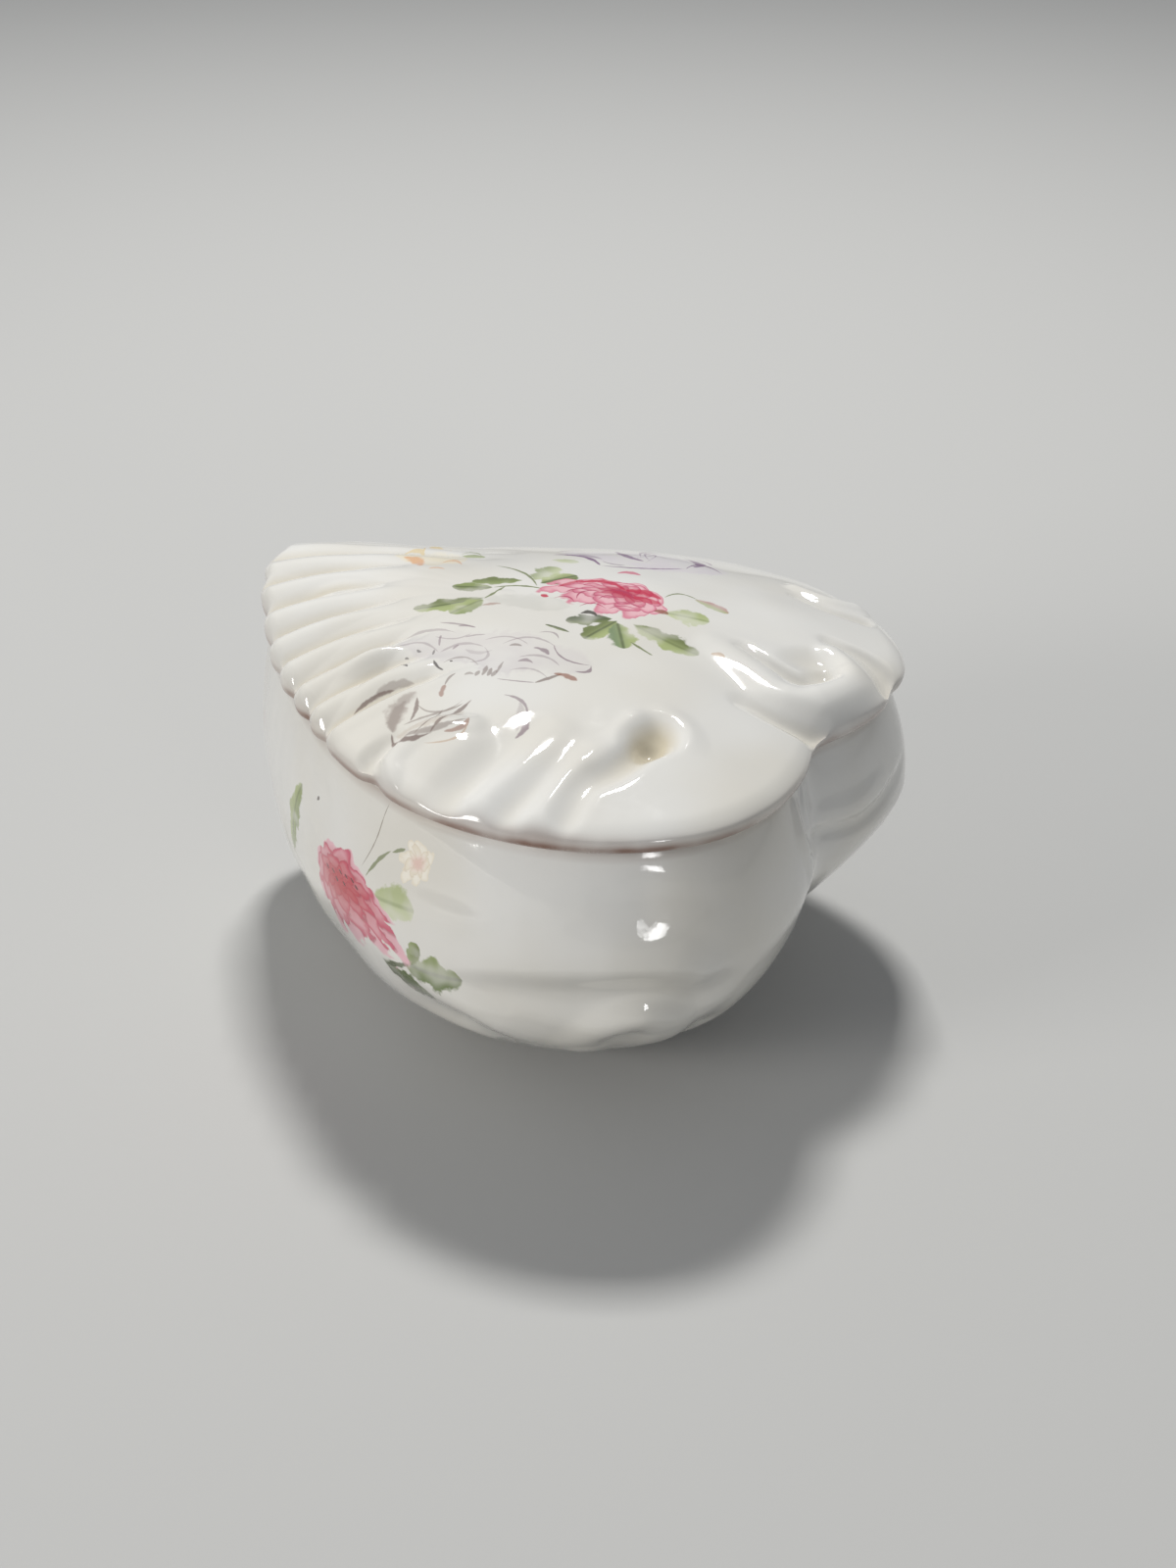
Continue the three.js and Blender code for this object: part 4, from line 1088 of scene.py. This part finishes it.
# The ivory in the flute valleys is painted shade as much as pooled glaze: it darkens the valleys where shade falls.
lid_pool_and_shade = np.maximum(lid_pool_and_shade, weights * strength * 0.75 * (1 - crest) ** 2)
lid_pool_and_shade[:plain_rings] = 0
lid_stain_and_shade = np.zeros((len(lid_rings), LID_SIDES))
front, left_front = [bell(apart(lid_angle, bearing * DEGREE), 0.4) for bearing in (-50, -105)]
along_edge = 0.6 + 0.4 * (front + left_front).clip(0, 1)
climbs = 0.35 * bell(apart(lid_angle, -55 * DEGREE), 0.22)
last = plain_rings + STAIN_RUN
for i, strength in zip(range(hidden_rings, last), RIM_STAIN_AND_SHADE):
    lid_stain_and_shade[i] = along_edge * strength + climbs * ramp(last - i, 0, STAIN_RUN) * (1 - strength)
base_pool, base_stain_and_shade = np.zeros((2, len(base_rings), BASE_SIDES))
# The base's top rings under the lid's edge: painted shadow of the lid, with some brown stain.
for i in range(4):
    base_stain_and_shade[seat_start - 1 - i] = 0.5 - 0.12 * i
for mesh, pool, stain in ((lid_mesh, lid_pool_and_shade, lid_stain_and_shade), (base_mesh, base_pool, base_stain_and_shade)):
    store(mesh, "pool", pool)
    store(mesh, "rim_stain_and_shade", stain)
print("pooled points", int((lid_pool_and_shade > 0.3).sum()))

# %% Run the flutes and keep the result
body = placed("lid_draft", lid_mesh)
modifier = body.modifiers.new("flutes", "NODES")
modifier.node_group = fan
names = {item.name: item.identifier for item in fan.interface.items_tree if item.in_out == "INPUT"}
for label, value in (
    ("Hub", (FAN_HUB[0] / 1000 + shift[0], FAN_HUB[1] / 1000 + shift[1], 0.0)),
    ("Step in degrees", FLUTE_STEP),
    ("Start in degrees", FLUTE_START),
    ("Depth", FLUTE_DEPTH / 1000),
    ("Glaze", plain_glaze),
):
    modifier[names[label]] = value
evaluated = body.evaluated_get(bpy.context.evaluated_depsgraph_get())
lid_skin = bpy.data.meshes.new_from_object(evaluated)
lid_skin.name = "lid_skin"
body.modifiers.clear()
bpy.data.objects.remove(body)
print("lid skin", len(lid_skin.vertices), [m.name for m in lid_skin.materials])

# %% Finished pieces
def middles(mesh):
    centres = np.empty(len(mesh.polygons) * 3, np.float32)
    mesh.polygons.foreach_get("center", centres)
    return centres.reshape(-1, 3) * 1000


def set_materials(mesh, materials, index):
    mesh.materials.clear()
    for material in materials:
        mesh.materials.append(material)
    mesh.polygons.foreach_set("material_index", index.astype(np.int32))
    mesh.shade_smooth()
    mesh.set_sharp_from_angle(angle=math.radians(50))


def bands(mesh, sides, *given):
    """A material number for each face, from a first ring, a last ring and a number for each band."""
    index = np.zeros(len(mesh.polygons), int)
    for first, last, slot in given:
        index[sides * (first + 1) : sides * (last + 1)] = slot
    return index


def finished(name, mesh, node):
    mesh.name = name
    piece = placed(name, mesh)
    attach(piece, "root")
    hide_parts(node)


FLANK_LOW, FLANK_HIGH = (-62, -np.inf, 12), (28, -15, 62.5)  # the painted side of the base, in millimetres
keep_inside(base_mesh, base_low, base_high)
keep_inside(lid_skin, lid_low, lid_high)
place = middles(base_mesh)
flank = ((place > FLANK_LOW) & (place < FLANK_HIGH)).all(1)
outside = bands(base_mesh, BASE_SIDES, (under_rings, seat_start - 1, 1)) == 1
index = bands(base_mesh, BASE_SIDES, (2, under_rings, 2), (seat_start, inside_start, 2))
set_materials(base_mesh, [plain_glaze, base_paint, bare], np.where(flank & outside, 1, index))
place = middles(lid_skin)[:, :2]
index = bands(lid_skin, LID_SIDES, (hidden_rings - 2, hidden_rings - 1, len(lid_paints) + 1))
on_top = np.arange(len(index)) > LID_SIDES * plain_rings
for i, (low, high) in enumerate(LID_FIELDS.values()):
    index[on_top & (place >= low).all(1) & (place < high).all(1)] = i + 1
set_materials(lid_skin, [plain_glaze] + lid_paints + [bare], index)
finished("base_skin", base_mesh, "base")
finished("lid_skin", lid_skin, "lid")
print("triangles", [sum(len(p.vertices) - 2 for p in m.polygons) for m in (base_mesh, lid_skin)])

# %% [markdown]
# ## Floor and light
# A pale floor and a few large, soft lights suit a glossy glaze, because what makes porcelain look wet is the shape of
# the lights it mirrors. One window-like panel stands low to the left of the camera, one hangs overhead, and a weak
# one stands to the right.

# %% Floor and lights
FLOOR_REACH = 3  # metres from the middle
corners = [(x * FLOOR_REACH, y * FLOOR_REACH, 0) for x, y in ((-1, -1), (1, -1), (1, 1), (-1, 1))]
floor_mesh = bpy.data.meshes.new("floor")
floor_mesh.from_pydata(corners, [], [(0, 1, 2, 3)])
floor = placed("floor", floor_mesh)
floor_finish, _, shader = new_material("pale_floor")
shader["Base Color"].default_value = (0.47, 0.47, 0.46, 1)
shader["Roughness"].default_value = 0.75
floor_mesh.materials.append(floor_finish)

world = bpy.data.worlds.new("studio")
world.use_nodes = True
sky = world.node_tree.nodes["Background"].inputs
sky["Color"].default_value = (0.80, 0.83, 0.88, 1)
sky["Strength"].default_value = 0.31
bpy.context.scene.world = world


def panel(name, place, target, size, power, colour):
    light = bpy.data.lights.new(name, "AREA")
    light.shape = "RECTANGLE"
    light.size, light.size_y = size
    light.energy = power
    light.color = colour
    lamp = placed(name, light)
    lamp.location = place
    lamp.rotation_euler = (Vector(target) - Vector(place)).to_track_quat("-Z", "Y").to_euler()


panel("window", (-0.50, -1.01, 0.40), (0, -0.03, 0.05), (0.42, 0.32), 7, (1.0, 0.98, 0.95))
panel("overhead", (-0.30, 0.50, 1.15), (0, 0, 0.05), (0.2, 0.15), 13.5, (1.0, 0.99, 0.97))
panel("side", (1.05, -0.75, 0.34), (0, 0, 0.05), (0.16, 0.2), 1.2, (1.0, 1.0, 1.0))
bpy.context.scene.view_settings.view_transform = "Standard"
